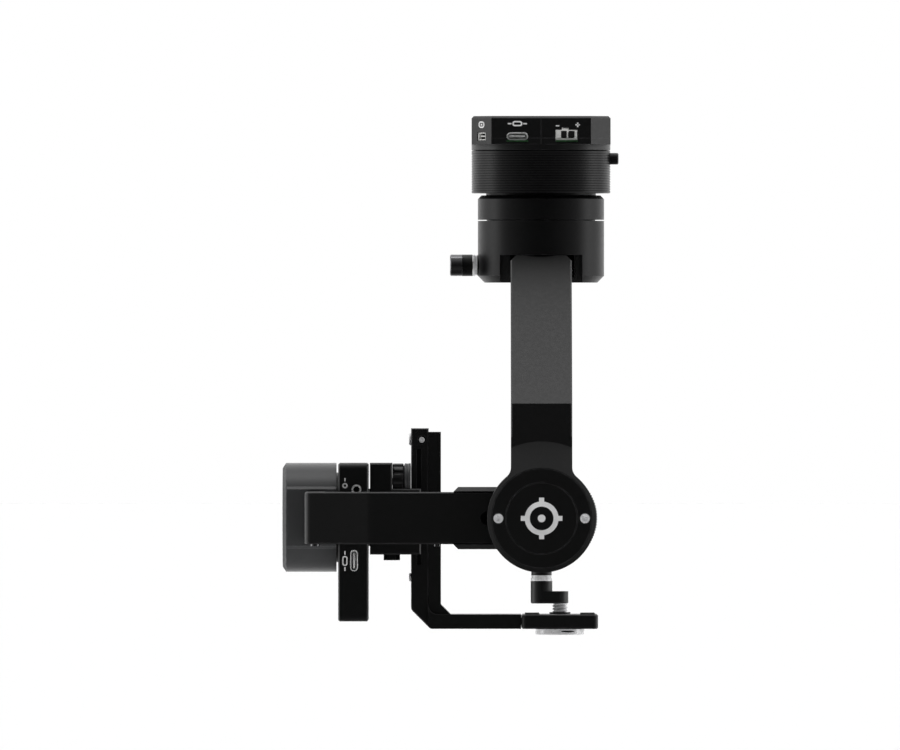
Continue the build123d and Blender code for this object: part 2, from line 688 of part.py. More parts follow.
with BuildPart() as vertical_arm:
    with BuildSketch(Plane.YZ):
        with BuildLine():
            Polyline(
                (TONGUE_END_Y, TONGUE_TOP_Z),
                (SLOPE_START_Y, TONGUE_TOP_Z),
                (ARM_FACE_Y, slope_end_z),
                (ARM_FACE_Y, ARM_LOW_Z),
                (arm_inner_y, ARM_LOW_Z),
                (arm_inner_y, slope_end_z - BEND_OFFSET),
                (SLOPE_START_Y + BEND_OFFSET, tongue_bottom_z),
                (TONGUE_END_Y, tongue_bottom_z),
                close=True,
            )
        make_face()
    extrude(amount=ARM_HALF, both=True)
    top_edges = vertical_arm.edges().filter_by(Axis.Y).group_by(Axis.Z)[-1]
    chamfer(top_edges, 2.3)
    slope_line = SLOPE_START_Y - TONGUE_TOP_Z
    outer_edges = vertical_arm.edges().filter_by(
        lambda e: abs(abs(e.center().X) - ARM_HALF) < 0.01
        and (e.center().Y < ARM_FACE_Y + 0.1 or abs(e.center().Y - e.center().Z - slope_line) < 0.1)
    )
    chamfer(outer_edges, 0.5)
    with BuildSketch(near_plane(arm_inner_y)) as outline:
        with Locations((0, AXIS_Z)):
            Circle(ROLL_R)
        with Locations((0, AXIS_Z + CONE_R / 2 + 1)):
            Rectangle(2 * ARM_HALF, CONE_R + 2)
        neck_corners = outline.vertices().filter_by_position(Axis.Y, AXIS_Z + 17, AXIS_Z + 20)
        fillet(neck_corners, 5)
    extrude(amount=arm_inner_y - ROLL_FACE_Y)
    disc(ROLL_PLANE, arm_inner_y - ROLL_WEB_Y - 1, ROLL_BACK_Y - ROLL_WEB_Y, ROLL_R)
    with BuildSketch(Plane.YZ):
        with BuildLine():
            Polyline(
                (ROLL_FACE_Y - 1, AXIS_Z + COVER_R + 0.4),
                (ROLL_FACE_Y, AXIS_Z + COVER_R + 0.4),
                (ARM_FACE_Y, AXIS_Z + CONE_R),
                (ARM_FACE_Y, AXIS_Z + CONE_R + 12),
                (ROLL_FACE_Y - 1, AXIS_Z + CONE_R + 12),
                close=True,
            )
        make_face()
    revolve(axis=Axis((0, 0, AXIS_Z), (0, 1, 0)), mode=Mode.SUBTRACT)
    bore(ROLL_PLANE, ROLL_FACE_Y - ROLL_WEB_Y - 1, COVER_BACK_Y - ROLL_WEB_Y, COVER_R + 0.02)
    bore(ROLL_PLANE, 0, ROLL_BACK_Y - ROLL_WEB_Y + 1, ROLL_INNER_R)
    hub(ROLL_PLANE)
    disc(roll_lever_plane, ROLL_INNER_R + 1, ROLL_BOSS_END, COLLAR_R)
    bore(roll_lever_plane, ROLL_INNER_R - 1, ROLL_BOSS_END, LOCK_PIN_R + FIT)
    bore(roll_lever_plane, ROLL_R - 0.1, ROLL_BOSS_END, SPINDLE_R + FIT)
    for x in (-COVER_SCREW_X, COVER_SCREW_X):
        way = Plane(origin=(x, 0, AXIS_Z), x_dir=(1, 0, 0), z_dir=(0, 1, 0))
        bore(way, COVER_BACK_Y - 1, ROLL_WEB_Y + 1, 1.1)
vertical_arm.part.label = "vertical_arm"
export_step(vertical_arm.part, "parts/vertical_arm.step")

INLAY_DEPTH = 0.4
INLAY_OUTER_R = 7.0
INLAY_INNER_R = 4.9
TICK_WIDTH = 2.1
TICK_LENGTH = 3.2
COVER_PLANE = near_plane(ROLL_FACE_Y)


def inlay_outline(grow):
    """A plain sight mark: a ring with four ticks and a dot, widened by the given amount."""
    with BuildSketch(COVER_PLANE) as mark:
        with Locations((0, AXIS_Z)):
            Circle(INLAY_OUTER_R + grow)
            Circle(INLAY_INNER_R - grow, mode=Mode.SUBTRACT)
            Circle(1.6 + grow)
            with PolarLocations(INLAY_OUTER_R, 4):
                Rectangle(TICK_LENGTH + 2 * grow, TICK_WIDTH + 2 * grow)
    return mark.sketch


with BuildPart() as roll_motor_cover:
    with BuildSketch(near_plane(COVER_BACK_Y)):
        with Locations((0, AXIS_Z)):
            Circle(COVER_R)
    extrude(amount=COVER_BACK_Y - ROLL_FACE_Y)
    with BuildSketch(COVER_PLANE):
        with Locations((0, AXIS_Z)):
            Circle(15.0)
            Circle(14.6, mode=Mode.SUBTRACT)
    extrude(amount=-0.25, mode=Mode.SUBTRACT)
    extrude(inlay_outline(0.03), amount=-INLAY_DEPTH, mode=Mode.SUBTRACT)
    with BuildSketch(COVER_PLANE):
        with Locations((-COVER_SCREW_X, AXIS_Z), (COVER_SCREW_X, AXIS_Z)):
            Circle(2.45)
    extrude(amount=-1.1, mode=Mode.SUBTRACT)
    with BuildSketch(COVER_PLANE):
        with Locations((-COVER_SCREW_X, AXIS_Z), (COVER_SCREW_X, AXIS_Z)):
            Circle(1.15)
    extrude(amount=-3, mode=Mode.SUBTRACT)
roll_motor_cover.part.label = "roll_motor_cover"
export_step(roll_motor_cover.part, "parts/roll_motor_cover.step")

with BuildPart() as cover_inlay:
    extrude(inlay_outline(0), amount=-INLAY_DEPTH)
cover_inlay.part.label = "cover_inlay"
export_step(cover_inlay.part, "parts/cover_inlay.step")

cover_screw_list = [
    socket_screw(
        Plane(origin=(x, ROLL_FACE_Y + 1.1, AXIS_Z), x_dir=(1, 0, 0), z_dir=(0, -1, 0)),
        2.1,
        1.0,
        1.08,
        1.9,
    )
    for x in (-COVER_SCREW_X, COVER_SCREW_X)
]
cover_screws = Compound(label="cover_screws", children=cover_screw_list)
export_step(cover_screws, "parts/cover_screws.step")

# ---------------------------------------------------------------------------------------------
# Roll side: arm clamp, stud, knob and the slotted roll arm
# ---------------------------------------------------------------------------------------------
STUD_R = 2.5
CLAMP_LIP_BEVEL = 1.7
CLAMP_END_BEVEL = 1.9
SLOT_LEFT_X = -25.3
SLOT_RIGHT_X = 13.5
KNURL_COUNT = 40
BAR_SCREWS = ((-94.0, -55.0, 1.75), (-93.8, -40.0, 1.75), (-43.4, -67.4, 1.2))  # X, Y and head radius

with BuildPart() as arm_clamp:
    with BuildSketch(Plane.YZ.offset(CLAMP_LEFT_X)) as section:
        with Locations(((FLANGE_Y + CLAMP_FAR_Y) / 2, AXIS_Z)):
            Rectangle(CLAMP_FAR_Y - FLANGE_Y, 2 * CLAMP_HALF)
        near_corners = section.vertices().group_by(Axis.X)[0]
        chamfer(near_corners, CLAMP_LIP_BEVEL)
        with Locations(((FLANGE_Y - 1 + BAR_FAR_Y + GAP) / 2, AXIS_Z)):
            Rectangle(BAR_FAR_Y + GAP - FLANGE_Y + 1, 2 * (BAR_HALF + GAP), mode=Mode.SUBTRACT)
    extrude(amount=CLAMP_RIGHT_X - CLAMP_LEFT_X)
    left_ends = arm_clamp.faces().sort_by(Axis.X)[0].edges().filter_by(Axis.Y)
    chamfer(left_ends.group_by(Axis.Z)[0] + left_ends.group_by(Axis.Z)[-1], CLAMP_END_BEVEL)
    with BuildSketch(near_plane(CLAMP_FAR_Y)):
        with Locations((KNOB_X, AXIS_Z)):
            Circle(STUD_R + FIT)
    extrude(amount=CLAMP_FAR_Y - BAR_FAR_Y + 1, mode=Mode.SUBTRACT)
arm_clamp.part.label = "arm_clamp"
export_step(arm_clamp.part, "parts/arm_clamp.step")

STUD_PLANE = Plane(origin=(KNOB_X, 0, AXIS_Z), x_dir=(1, 0, 0), z_dir=(0, 1, 0))
with BuildPart() as roll_rotor:
    add(make_rotor(ROLL_PLANE, 18.0, FLANGE_Y - ROLL_WEB_Y, True))
    disc(STUD_PLANE, FLANGE_Y - 1, KNOB_FAR_Y - 0.6, STUD_R)
roll_rotor.part.label = "roll_rotor"
export_step(roll_rotor.part, "parts/roll_rotor.step")

with BuildPart() as clamp_knob:
    disc(STUD_PLANE, CLAMP_FAR_Y + GAP, KNOB_FAR_Y, KNOB_R)
    bore(STUD_PLANE, CLAMP_FAR_Y, KNOB_FAR_Y, STUD_R + FIT)
    with BuildSketch(STUD_PLANE.offset(CLAMP_FAR_Y)):
        with PolarLocations(KNOB_R + 0.3, KNURL_COUNT):
            Circle(0.8)
    extrude(amount=KNOB_FAR_Y - CLAMP_FAR_Y, mode=Mode.SUBTRACT)
    with BuildSketch(STUD_PLANE.offset(KNOB_FAR_Y - 0.8)):
        Circle(KNOB_R - 3)
        Circle(6, mode=Mode.SUBTRACT)
    extrude(amount=1, mode=Mode.SUBTRACT)
clamp_knob.part.label = "clamp_knob"
export_step(clamp_knob.part, "parts/clamp_knob.step")

with BuildPart() as roll_arm:
    with BuildSketch(Plane.XY.offset(AXIS_Z - BAR_HALF)) as plan:
        with BuildLine():
            Polyline(
                (BAR_RIGHT_X, BAR_NEAR_Y),
                (BAR_BEND_X, BAR_NEAR_Y),
                (BAR_LEFT_X, BAR_CORNER_Y),
                (BAR_LEFT_X, BOSS_Y),
                (LEG_INNER_X, BOSS_Y),
                (LEG_INNER_X, BAR_CORNER_Y + 8.5),
                (BAR_BEND_X, BAR_FAR_Y),
                (BAR_RIGHT_X, BAR_FAR_Y),
                close=True,
            )
        make_face()
        for x, radius in ((BAR_LEFT_X, 3), (LEG_INNER_X, 4)):
            corners = plan.vertices().filter_by_position(Axis.X, x - 1, x + 1)
            fillet(corners.group_by(Axis.Y)[0], radius)
        fillet(plan.vertices().filter_by_position(Axis.X, BAR_BEND_X - 0.1, BAR_BEND_X + 0.1), 8)
    extrude(amount=2 * BAR_HALF)
    chamfer(roll_arm.faces().sort_by(Axis.Z)[-1].edges(), 0.5)
    chamfer(roll_arm.faces().sort_by(Axis.Z)[0].edges(), 0.5)
    with BuildSketch(near_plane(BAR_FAR_Y + 1)):
        with Locations(((SLOT_LEFT_X + SLOT_RIGHT_X) / 2, AXIS_Z)):
            SlotOverall(SLOT_RIGHT_X - SLOT_LEFT_X, 2 * SLOT_HALF)
    extrude(amount=BAR_FAR_Y - BAR_NEAR_Y + 2, mode=Mode.SUBTRACT)
    with BuildSketch(Plane.XY.offset(AXIS_Z - BAR_HALF)):
        with Locations(*[(x, y) for x, y, head_r in BAR_SCREWS]):
            Circle(1.0)
    extrude(amount=5, mode=Mode.SUBTRACT)
roll_arm.part.label = "roll_arm"
export_step(roll_arm.part, "parts/roll_arm.step")

bar_screw_list = [
    socket_screw(
        Plane(origin=(x, y, AXIS_Z - BAR_HALF), x_dir=(1, 0, 0), z_dir=(0, 0, -1)), head_r, 0.9, 0.97, 4.5
    )
    for x, y, head_r in BAR_SCREWS
]
bar_screws = Compound(label="bar_screws", children=bar_screw_list)
export_step(bar_screws, "parts/bar_screws.step")

# ---------------------------------------------------------------------------------------------
# Tilt motor housing
# ---------------------------------------------------------------------------------------------
BOSS_LEFT_X = TILT_LEFT_X + 1.8
BOSS_RIGHT_X = TILT_RIGHT_X
CAP_R = 20.0

with BuildPart() as tilt_motor_housing:
    disc(TILT_PLANE, TILT_LEFT_X - TILT_WEB_X, TILT_RIGHT_X - TILT_WEB_X, TILT_R)
    chamfer(tilt_motor_housing.faces().sort_by(Axis.X)[0].edges(), length=1.5, length2=2.3)
    with BuildSketch(near_plane(BOSS_Y)):
        with Locations(((BOSS_LEFT_X + BOSS_RIGHT_X) / 2, AXIS_Z)):
            Rectangle(BOSS_RIGHT_X - BOSS_LEFT_X, 2 * BOSS_HALF)
    extrude(amount=-10)
    boss_rim = tilt_motor_housing.faces().sort_by(Axis.Y)[0].edges().filter_by(Axis.X)
    chamfer(boss_rim, 1.0)
    bore(TILT_PLANE, 0, TILT_RIGHT_X - TILT_WEB_X, TILT_INNER_R)
    bore(TILT_PLANE, TILT_LEFT_X - TILT_WEB_X, -1.5, CAP_R + 0.02)
    hub(TILT_PLANE)
tilt_motor_housing.part.label = "tilt_motor_housing"
export_step(tilt_motor_housing.part, "parts/tilt_motor_housing.step")

with BuildPart() as tilt_end_cap:
    disc(TILT_PLANE, TILT_LEFT_X - TILT_WEB_X, -1.5, CAP_R)
    with BuildSketch(TILT_PLANE.offset(TILT_LEFT_X - TILT_WEB_X)):
        Circle(14.0)
        Circle(13.6, mode=Mode.SUBTRACT)
        with PolarLocations(16.5, 3):
            Circle(1.6)
    extrude(amount=0.4, mode=Mode.SUBTRACT)
tilt_end_cap.part.label = "tilt_end_cap"
export_step(tilt_end_cap.part, "parts/tilt_end_cap.step")

# ---------------------------------------------------------------------------------------------
# Electronics case
# ---------------------------------------------------------------------------------------------
CASE_WALL = 1.8
LID_LEFT_X = -73.4
case_middle_z = (CASE_TOP_Z + CASE_BOTTOM_Z) / 2
case_height = CASE_TOP_Z - CASE_BOTTOM_Z
JACK_R = 2.1


def case_slab(left, right, inset, mode=Mode.ADD):
    """A slab across the case between two X levels, its outline set in from the case's by an even margin."""
    with BuildSketch(Plane.YZ.offset(left)) as outline:
        with Locations((0, case_middle_z)):
            RectangleRounded(2 * (CASE_HALF_Y - inset), case_height - 2 * inset, 2.5 - 0.5 * inset)
    extrude(outline.sketch, amount=right - left, mode=mode)


with BuildPart() as electronics_case:
    case_slab(CASE_LEFT_X, CASE_RIGHT_X, 0)
    chamfer(electronics_case.faces().sort_by(Axis.X)[0].edges(), 0.6)
    chamfer(electronics_case.faces().sort_by(Axis.X)[-1].edges(), 0.6)
    case_slab(CASE_LEFT_X + CASE_WALL, LID_LEFT_X, CASE_WALL + 0.8, Mode.SUBTRACT)
    case_slab(LID_LEFT_X, CASE_RIGHT_X, CASE_WALL, Mode.SUBTRACT)
    with BuildSketch(near_plane(-CASE_HALF_Y - 1)):
        with Locations((JACK_X, JACK_Z)):
            Circle(JACK_R + 0.05)
        with Locations((CASE_BOARD_X + 1.7, CASE_PORT_Z)):
            RectangleRounded(3.5, 9.15, 1.6)
    extrude(amount=-6, mode=Mode.SUBTRACT)
electronics_case.part.label = "electronics_case"
export_step(electronics_case.part, "parts/electronics_case.step")

with BuildPart() as case_lid:
    case_slab(LID_LEFT_X, CASE_RIGHT_X, CASE_WALL + 0.05)
case_lid.part.label = "case_lid"
export_step(case_lid.part, "parts/case_lid.step")

with BuildPart() as case_board:
    case_slab(CASE_BOARD_X - 1, CASE_BOARD_X, CASE_WALL + 1.2)
case_board.part.label = "case_board"
export_step(case_board.part, "parts/case_board.step")

with BuildPart() as case_ports:
    with BuildSketch(near_plane(0.4 - CASE_HALF_Y)):
        with Locations((JACK_X, JACK_Z)):
            Circle(JACK_R)
        with Locations((CASE_BOARD_X + 1.7, CASE_PORT_Z)):
            RectangleRounded(3.3, 8.94, 1.55)
    extrude(amount=-8)
    with BuildSketch(near_plane(0.4 - CASE_HALF_Y)):
        with Locations((JACK_X, JACK_Z)):
            Circle(JACK_R - 0.8)
        with Locations((CASE_BOARD_X + 1.7, CASE_PORT_Z)):
            RectangleRounded(2.6, 8.24, 1.25)
            Rectangle(0.75, 6.3, mode=Mode.SUBTRACT)
    extrude(amount=-6.5, mode=Mode.SUBTRACT)
case_ports.part.label = "case_ports"
export_step(case_ports.part, "parts/case_ports.step")

# ---------------------------------------------------------------------------------------------
# Rail clamp and its knobs
# ---------------------------------------------------------------------------------------------
HOOK_LEFT_X = GROOVE_LEFT_X + 0.1
HOOK_DEPTH = GROOVE_DEPTH - 0.3
CLAMP_BOLT_X = -62.1
RAIL_KNOB_R = 7.5
KNOB_GROOVE_X = -57.0
KNOB_SCREW_R = 1.5
RAIL_KNOB_PLANE = Plane(origin=(0, RAIL_KNOB_Y, RAIL_KNOB_Z), x_dir=(0, 1, 0), z_dir=(1, 0, 0))
jaw_gap_y = RAIL_HALF_Y + GAP

with BuildPart() as rail_clamp:
    with BuildSketch(near_plane(-JAW_HALF_Y)) as upper:
        with Locations(((BLOCK_LEFT_X + BLOCK_RIGHT_X) / 2, (CASE_TOP_Z + JAW_BOTTOM_Z) / 2)):
            Rectangle(BLOCK_RIGHT_X - BLOCK_LEFT_X, CASE_TOP_Z - JAW_BOTTOM_Z)
    extrude(amount=-2 * JAW_HALF_Y)
    with BuildSketch(near_plane(-JAW_HALF_Y)):
        with Locations(((BLOCK_RIGHT_X + JAW_RIGHT_X) / 2, (JAW_TOP_Z + JAW_BOTTOM_Z) / 2)):
            Rectangle(JAW_RIGHT_X - BLOCK_RIGHT_X, JAW_TOP_Z - JAW_BOTTOM_Z)
    extrude(amount=-2 * JAW_HALF_Y)
    near_rim = rail_clamp.faces().sort_by(Axis.Y)[0].edges()
    chamfer(near_rim, 0.6)
    with BuildSketch(Plane.XY.offset(JAW_BOTTOM_Z)):
        with Locations(((RAIL_LEFT_X - GAP + GROOVE_LEFT_X + GAP) / 2, 0)):
            Rectangle(GROOVE_LEFT_X - RAIL_LEFT_X + 2 * GAP, 2 * jaw_gap_y)
        with Locations(((HOOK_LEFT_X + JAW_RIGHT_X) / 2, 0)):
            Rectangle(JAW_RIGHT_X - HOOK_LEFT_X + 1, 2 * (RAIL_HALF_Y - HOOK_DEPTH))
    extrude(amount=JAW_TOP_Z - JAW_BOTTOM_Z, mode=Mode.SUBTRACT)
    disc(Plane(origin=(0, 0, AXIS_Z), x_dir=(0, 1, 0), z_dir=(1, 0, 0)), CASE_RIGHT_X, BLOCK_LEFT_X, 12)
    bore(RAIL_KNOB_PLANE, BLOCK_RIGHT_X - 5, BLOCK_RIGHT_X, KNOB_SCREW_R + FIT)
    bore(RAIL_KNOB_PLANE, BLOCK_RIGHT_X, RAIL_LEFT_X - GAP, RAIL_KNOB_R + 0.3)
rail_clamp.part.label = "rail_clamp"
export_step(rail_clamp.part, "parts/rail_clamp.step")

with BuildPart() as clamp_bolt:
    with BuildSketch(Plane.XY.offset(JAW_BOTTOM_Z)):
        with Locations((CLAMP_BOLT_X, -12)):
            RegularPolygon(radius=3.4, side_count=6)
    extrude(amount=-2.4)
clamp_bolt.part.label = "clamp_bolt"
export_step(clamp_bolt.part, "parts/clamp_bolt.step")

with BuildPart() as rail_knob:
    disc(RAIL_KNOB_PLANE, BLOCK_RIGHT_X + GAP, RAIL_LEFT_X - GAP, RAIL_KNOB_R)
    rims = rail_knob.faces().sort_by(Axis.X)[0].edges() + rail_knob.faces().sort_by(Axis.X)[-1].edges()
    chamfer(rims, 0.3)
    disc(RAIL_KNOB_PLANE, BLOCK_RIGHT_X - 4.5, BLOCK_RIGHT_X + 1, KNOB_SCREW_R)
    with BuildSketch(RAIL_KNOB_PLANE.offset(KNOB_GROOVE_X - 0.3)):
        Circle(RAIL_KNOB_R + 1)
        Circle(RAIL_KNOB_R - 0.6, mode=Mode.SUBTRACT)
    extrude(amount=0.6, mode=Mode.SUBTRACT)
    with BuildSketch(RAIL_KNOB_PLANE.offset(BLOCK_RIGHT_X)):
        with PolarLocations(RAIL_KNOB_R + 0.6, 12, start_angle=15):
            Circle(1.2)
    extrude(amount=KNOB_GROOVE_X - BLOCK_RIGHT_X, mode=Mode.SUBTRACT)
rail_knob.part.label = "rail_knob"
export_step(rail_knob.part, "parts/rail_knob.step")

# ---------------------------------------------------------------------------------------------
# Camera rail, L-bracket, tray and camera screw
# ---------------------------------------------------------------------------------------------
RAIL_CORNER_Z = -205.3
STOP_SCREWS = ((-134.5, 2.5), (-192.0, 1.75))
POCKET_LEFT_X = -30.0
TONGUE_HALF_Y = 8.0
TONGUE_HALF_Z = 1.5
BRACKET_HALF_Y = 20.0
foot_middle_z = (FOOT_TOP_Z + FOOT_BOTTOM_Z) / 2
SCREW_PLANE = Plane(origin=(SCREW_X, 0, 0), x_dir=(1, 0, 0), z_dir=(0, 0, 1))
corner_bottom_z = RAIL_CORNER_Z - (RAIL_RIGHT_X - RAIL_LEFT_X)

with BuildPart() as camera_rail:
    with BuildSketch(Plane.XZ.offset(-RAIL_HALF_Y)):
        with BuildLine():
            Polyline(
                (RAIL_LEFT_X, RAIL_TOP_Z),
                (RAIL_RIGHT_X, RAIL_TOP_Z),
                (RAIL_RIGHT_X, corner_bottom_z),
                (RAIL_LEFT_X, RAIL_CORNER_Z),
                close=True,
            )
        make_face()
    extrude(amount=2 * RAIL_HALF_Y)
    along_y = camera_rail.edges().filter_by(Axis.Y)
    fillet(along_y.sort_by_distance((RAIL_LEFT_X, 0, RAIL_CORNER_Z))[0], 2.5)
    chamfer(camera_rail.faces().sort_by(Axis.Y)[0].edges(), 0.4)
    for side in (-1, 1):
        with BuildSketch(Plane.XY.offset(GROOVE_BOTTOM_Z)):
            with Locations(((GROOVE_LEFT_X + JAW_RIGHT_X + GAP) / 2, side * RAIL_HALF_Y)):
                Rectangle(JAW_RIGHT_X + GAP - GROOVE_LEFT_X, 2 * GROOVE_DEPTH)
        extrude(amount=GROOVE_TOP_Z - GROOVE_BOTTOM_Z, mode=Mode.SUBTRACT)
    with BuildSketch(near_plane(-RAIL_HALF_Y)):
        with Locations((-49.6, -134.7)):
            Circle(1.8)
    extrude(amount=-1.5, mode=Mode.SUBTRACT)
camera_rail.part.label = "camera_rail"
export_step(camera_rail.part, "parts/camera_rail.step")

rail_stop_list = []
for z, head_r in STOP_SCREWS:
    with BuildPart() as dome:
        way = Plane(origin=(RAIL_LEFT_X, 0, z), x_dir=(0, 1, 0), z_dir=(-1, 0, 0))
        disc(way, 0, 0.9, head_r)
        fillet(dome.faces().sort_by(Axis.X)[0].edges(), 0.6)
    rail_stop_list.append(dome.part)
with BuildPart() as edge_screw:
    way = Plane(origin=(-49.6, -RAIL_HALF_Y + 1.4, -134.7), x_dir=(1, 0, 0), z_dir=(0, -1, 0))
    disc(way, 0, 1.1, 1.2)
rail_stop_list.append(edge_screw.part)
stop_screws = Compound(label="stop_screws", children=rail_stop_list)
export_step(stop_screws, "parts/stop_screws.step")

with BuildPart() as l_bracket:
    with BuildSketch(Plane.XZ.offset(-BRACKET_HALF_Y)):
        with BuildLine():
            Polyline(
                (RAIL_RIGHT_X, -131.4),
                (WEB_RIGHT_X, -131.4),
                (WEB_RIGHT_X, -203.2),
                (WEB_RIGHT_X + 4.1, FOOT_TOP_Z),
                (FOOT_RIGHT_X, FOOT_TOP_Z),
                (FOOT_RIGHT_X, FOOT_BOTTOM_Z),
                (RAIL_RIGHT_X + corner_bottom_z - FOOT_BOTTOM_Z, FOOT_BOTTOM_Z),
                (RAIL_RIGHT_X, corner_bottom_z),
                close=True,
            )
        make_face()
    extrude(amount=2 * BRACKET_HALF_Y)
    along_y = l_bracket.edges().filter_by(Axis.Y)
    foot_corner_x = RAIL_RIGHT_X + corner_bottom_z - FOOT_BOTTOM_Z
    corner_point = Vector(foot_corner_x, 0, FOOT_BOTTOM_Z)
    fillet(along_y.filter_by(lambda e: (e.center() - corner_point).length < 0.1), 1.8)
    chamfer(l_bracket.faces().sort_by(Axis.Y)[-1].edges(), 0.4)
    with BuildSketch(Plane.YZ.offset(POCKET_LEFT_X)):
        with Locations((0, foot_middle_z)):
            Rectangle(2 * (TONGUE_HALF_Y + GAP), 2 * (TONGUE_HALF_Z + GAP))
    extrude(amount=FOOT_RIGHT_X - POCKET_LEFT_X, mode=Mode.SUBTRACT)
    with BuildSketch(near_plane(-BRACKET_HALF_Y)) as recess:
        with Locations((RAIL_RIGHT_X, FOOT_TOP_Z)):
            Rectangle(WEB_RIGHT_X - RAIL_RIGHT_X + 6, FOOT_TOP_Z * -1, align=(Align.MIN, Align.MIN))
        fillet(recess.vertices().group_by(Axis.Y)[0].sort_by(Axis.X)[0], 3.6)
    extrude(amount=RAIL_HALF_Y - BRACKET_HALF_Y, mode=Mode.SUBTRACT)
l_bracket.part.label = "l_bracket"
export_step(l_bracket.part, "parts/l_bracket.step")

with BuildPart() as camera_tray:
    with BuildSketch(Plane.XY.offset(FOOT_BOTTOM_Z)):
        with Locations(((FOOT_RIGHT_X + 0.15 + TRAY_RIGHT_X) / 2, 0)):
            RectangleRounded(TRAY_RIGHT_X - FOOT_RIGHT_X - 0.15, 2 * TRAY_HALF_Y, 2)
    extrude(amount=FOOT_TOP_Z - FOOT_BOTTOM_Z)
    chamfer(camera_tray.faces().sort_by(Axis.Z)[-1].edges(), 0.5)
    chamfer(camera_tray.faces().sort_by(Axis.Z)[0].edges(), 0.5)
    with BuildSketch(Plane.YZ.offset(POCKET_LEFT_X + 4)):
        with Locations((0, foot_middle_z)):
            Rectangle(2 * TONGUE_HALF_Y, 2 * TONGUE_HALF_Z)
    extrude(amount=FOOT_RIGHT_X - POCKET_LEFT_X - 2)
    disc(SCREW_PLANE, FOOT_TOP_Z - 1, FOOT_TOP_Z + 0.8, 4.4)
    bore(SCREW_PLANE, FOOT_BOTTOM_Z, FOOT_TOP_Z + 1, SCREW_R + 0.05)
camera_tray.part.label = "camera_tray"
export_step(camera_tray.part, "parts/camera_tray.step")

with BuildPart() as tray_pads:
    with BuildSketch(Plane.XY.offset(FOOT_TOP_Z)):
        for x in (-3.7, 19.4):
            with Locations((x, 0)):
                Rectangle(6, 40)
    extrude(amount=0.5)
    chamfer(tray_pads.faces().filter_by(Axis.Z).group_by(Axis.Z)[-1].edges(), 0.15)
tray_pads.part.label = "tray_pads"
export_step(tray_pads.part, "parts/tray_pads.step")

SHANK_R = 2.7
THREAD_START_Z = FOOT_TOP_Z + 0.85
RING_BAR_X = -3.0
RING_R = 7.4
WIRE = 1.2
ring_z = SCREW_HEAD_Z + 0.7


def ring_outline(grow):
    """The folding ring's arc: a round wire loop cut off at its hinge bar."""
    with BuildSketch(SCREW_PLANE.offset(ring_z - WIRE / 2 - 0.05 - grow)) as loop:
        Circle(RING_R + grow)
        Circle(RING_R - WIRE - grow, mode=Mode.SUBTRACT)
        with Locations((RING_BAR_X - 10, 0)):
            Rectangle(20, 20, mode=Mode.SUBTRACT)
    return loop.sketch


bar_half = (RING_R**2 - RING_BAR_X**2) ** 0.5
BAR_PLANE = Plane(origin=(SCREW_X + RING_BAR_X, 0, ring_z), x_dir=(1, 0, 0), z_dir=(0, 1, 0))
with BuildPart() as camera_screw:
    disc(SCREW_PLANE, SCREW_HEAD_Z, FOOT_BOTTOM_Z - 0.1, SCREW_HEAD_R)
    chamfer(camera_screw.faces().sort_by(Axis.Z)[0].edges(), 0.3)
    disc(SCREW_PLANE, FOOT_BOTTOM_Z - 0.5, THREAD_START_Z, SHANK_R)
    disc(SCREW_PLANE, THREAD_START_Z, SCREW_TOP_Z, SCREW_R)
    chamfer(camera_screw.faces().sort_by(Axis.Z)[-1].edges(), 0.4)
    extrude(ring_outline(0.25), amount=-3, mode=Mode.SUBTRACT)
    extrude(ring_outline(0.25), amount=WIRE + 0.5, mode=Mode.SUBTRACT)
    with BuildSketch(SCREW_PLANE.offset(SCREW_HEAD_Z - 1)):
        with Locations((RING_BAR_X, 0)):
            Rectangle(WIRE + 0.8, 2 * bar_half + 0.6)
    extrude(amount=ring_z + WIRE / 2 + 0.2 - SCREW_HEAD_Z + 1, mode=Mode.SUBTRACT)
camera_screw.part.label = "camera_screw"
export_step(camera_screw.part, "parts/camera_screw.step")

with BuildPart() as screw_ring:
    extrude(ring_outline(0), amount=WIRE)
    disc(BAR_PLANE, -bar_half, bar_half, WIRE / 2)
screw_ring.part.label = "screw_ring"
export_step(screw_ring.part, "parts/screw_ring.step")
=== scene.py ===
import math
import bpy
import bmesh
from mathutils import Matrix, Vector


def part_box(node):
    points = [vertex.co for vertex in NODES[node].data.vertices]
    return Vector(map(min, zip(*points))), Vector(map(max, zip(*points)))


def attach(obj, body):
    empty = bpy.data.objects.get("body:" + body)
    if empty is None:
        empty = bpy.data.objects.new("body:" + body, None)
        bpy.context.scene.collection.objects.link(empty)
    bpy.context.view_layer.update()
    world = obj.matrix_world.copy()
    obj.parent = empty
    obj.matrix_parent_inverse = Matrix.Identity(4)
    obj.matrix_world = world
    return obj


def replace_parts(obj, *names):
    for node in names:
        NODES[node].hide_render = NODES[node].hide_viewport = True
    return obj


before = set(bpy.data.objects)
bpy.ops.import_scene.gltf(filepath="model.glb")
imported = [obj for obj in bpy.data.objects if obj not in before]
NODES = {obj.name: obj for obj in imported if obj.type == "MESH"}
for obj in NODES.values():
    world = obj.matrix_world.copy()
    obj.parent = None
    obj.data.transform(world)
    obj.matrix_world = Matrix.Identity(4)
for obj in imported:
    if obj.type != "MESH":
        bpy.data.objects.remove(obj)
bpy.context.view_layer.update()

MM = 0.001
scene = bpy.context.scene
AXIS_Z = -167.0  # height of the roll and tilt axes
UP = Vector((0, 0, 1))
NEAR = Vector((0, -1, 0))
FAR = Vector((0, 1, 0))
LEFT = Vector((-1, 0, 0))
RIGHT = Vector((1, 0, 0))
DOWN = Vector((0, 0, -1))


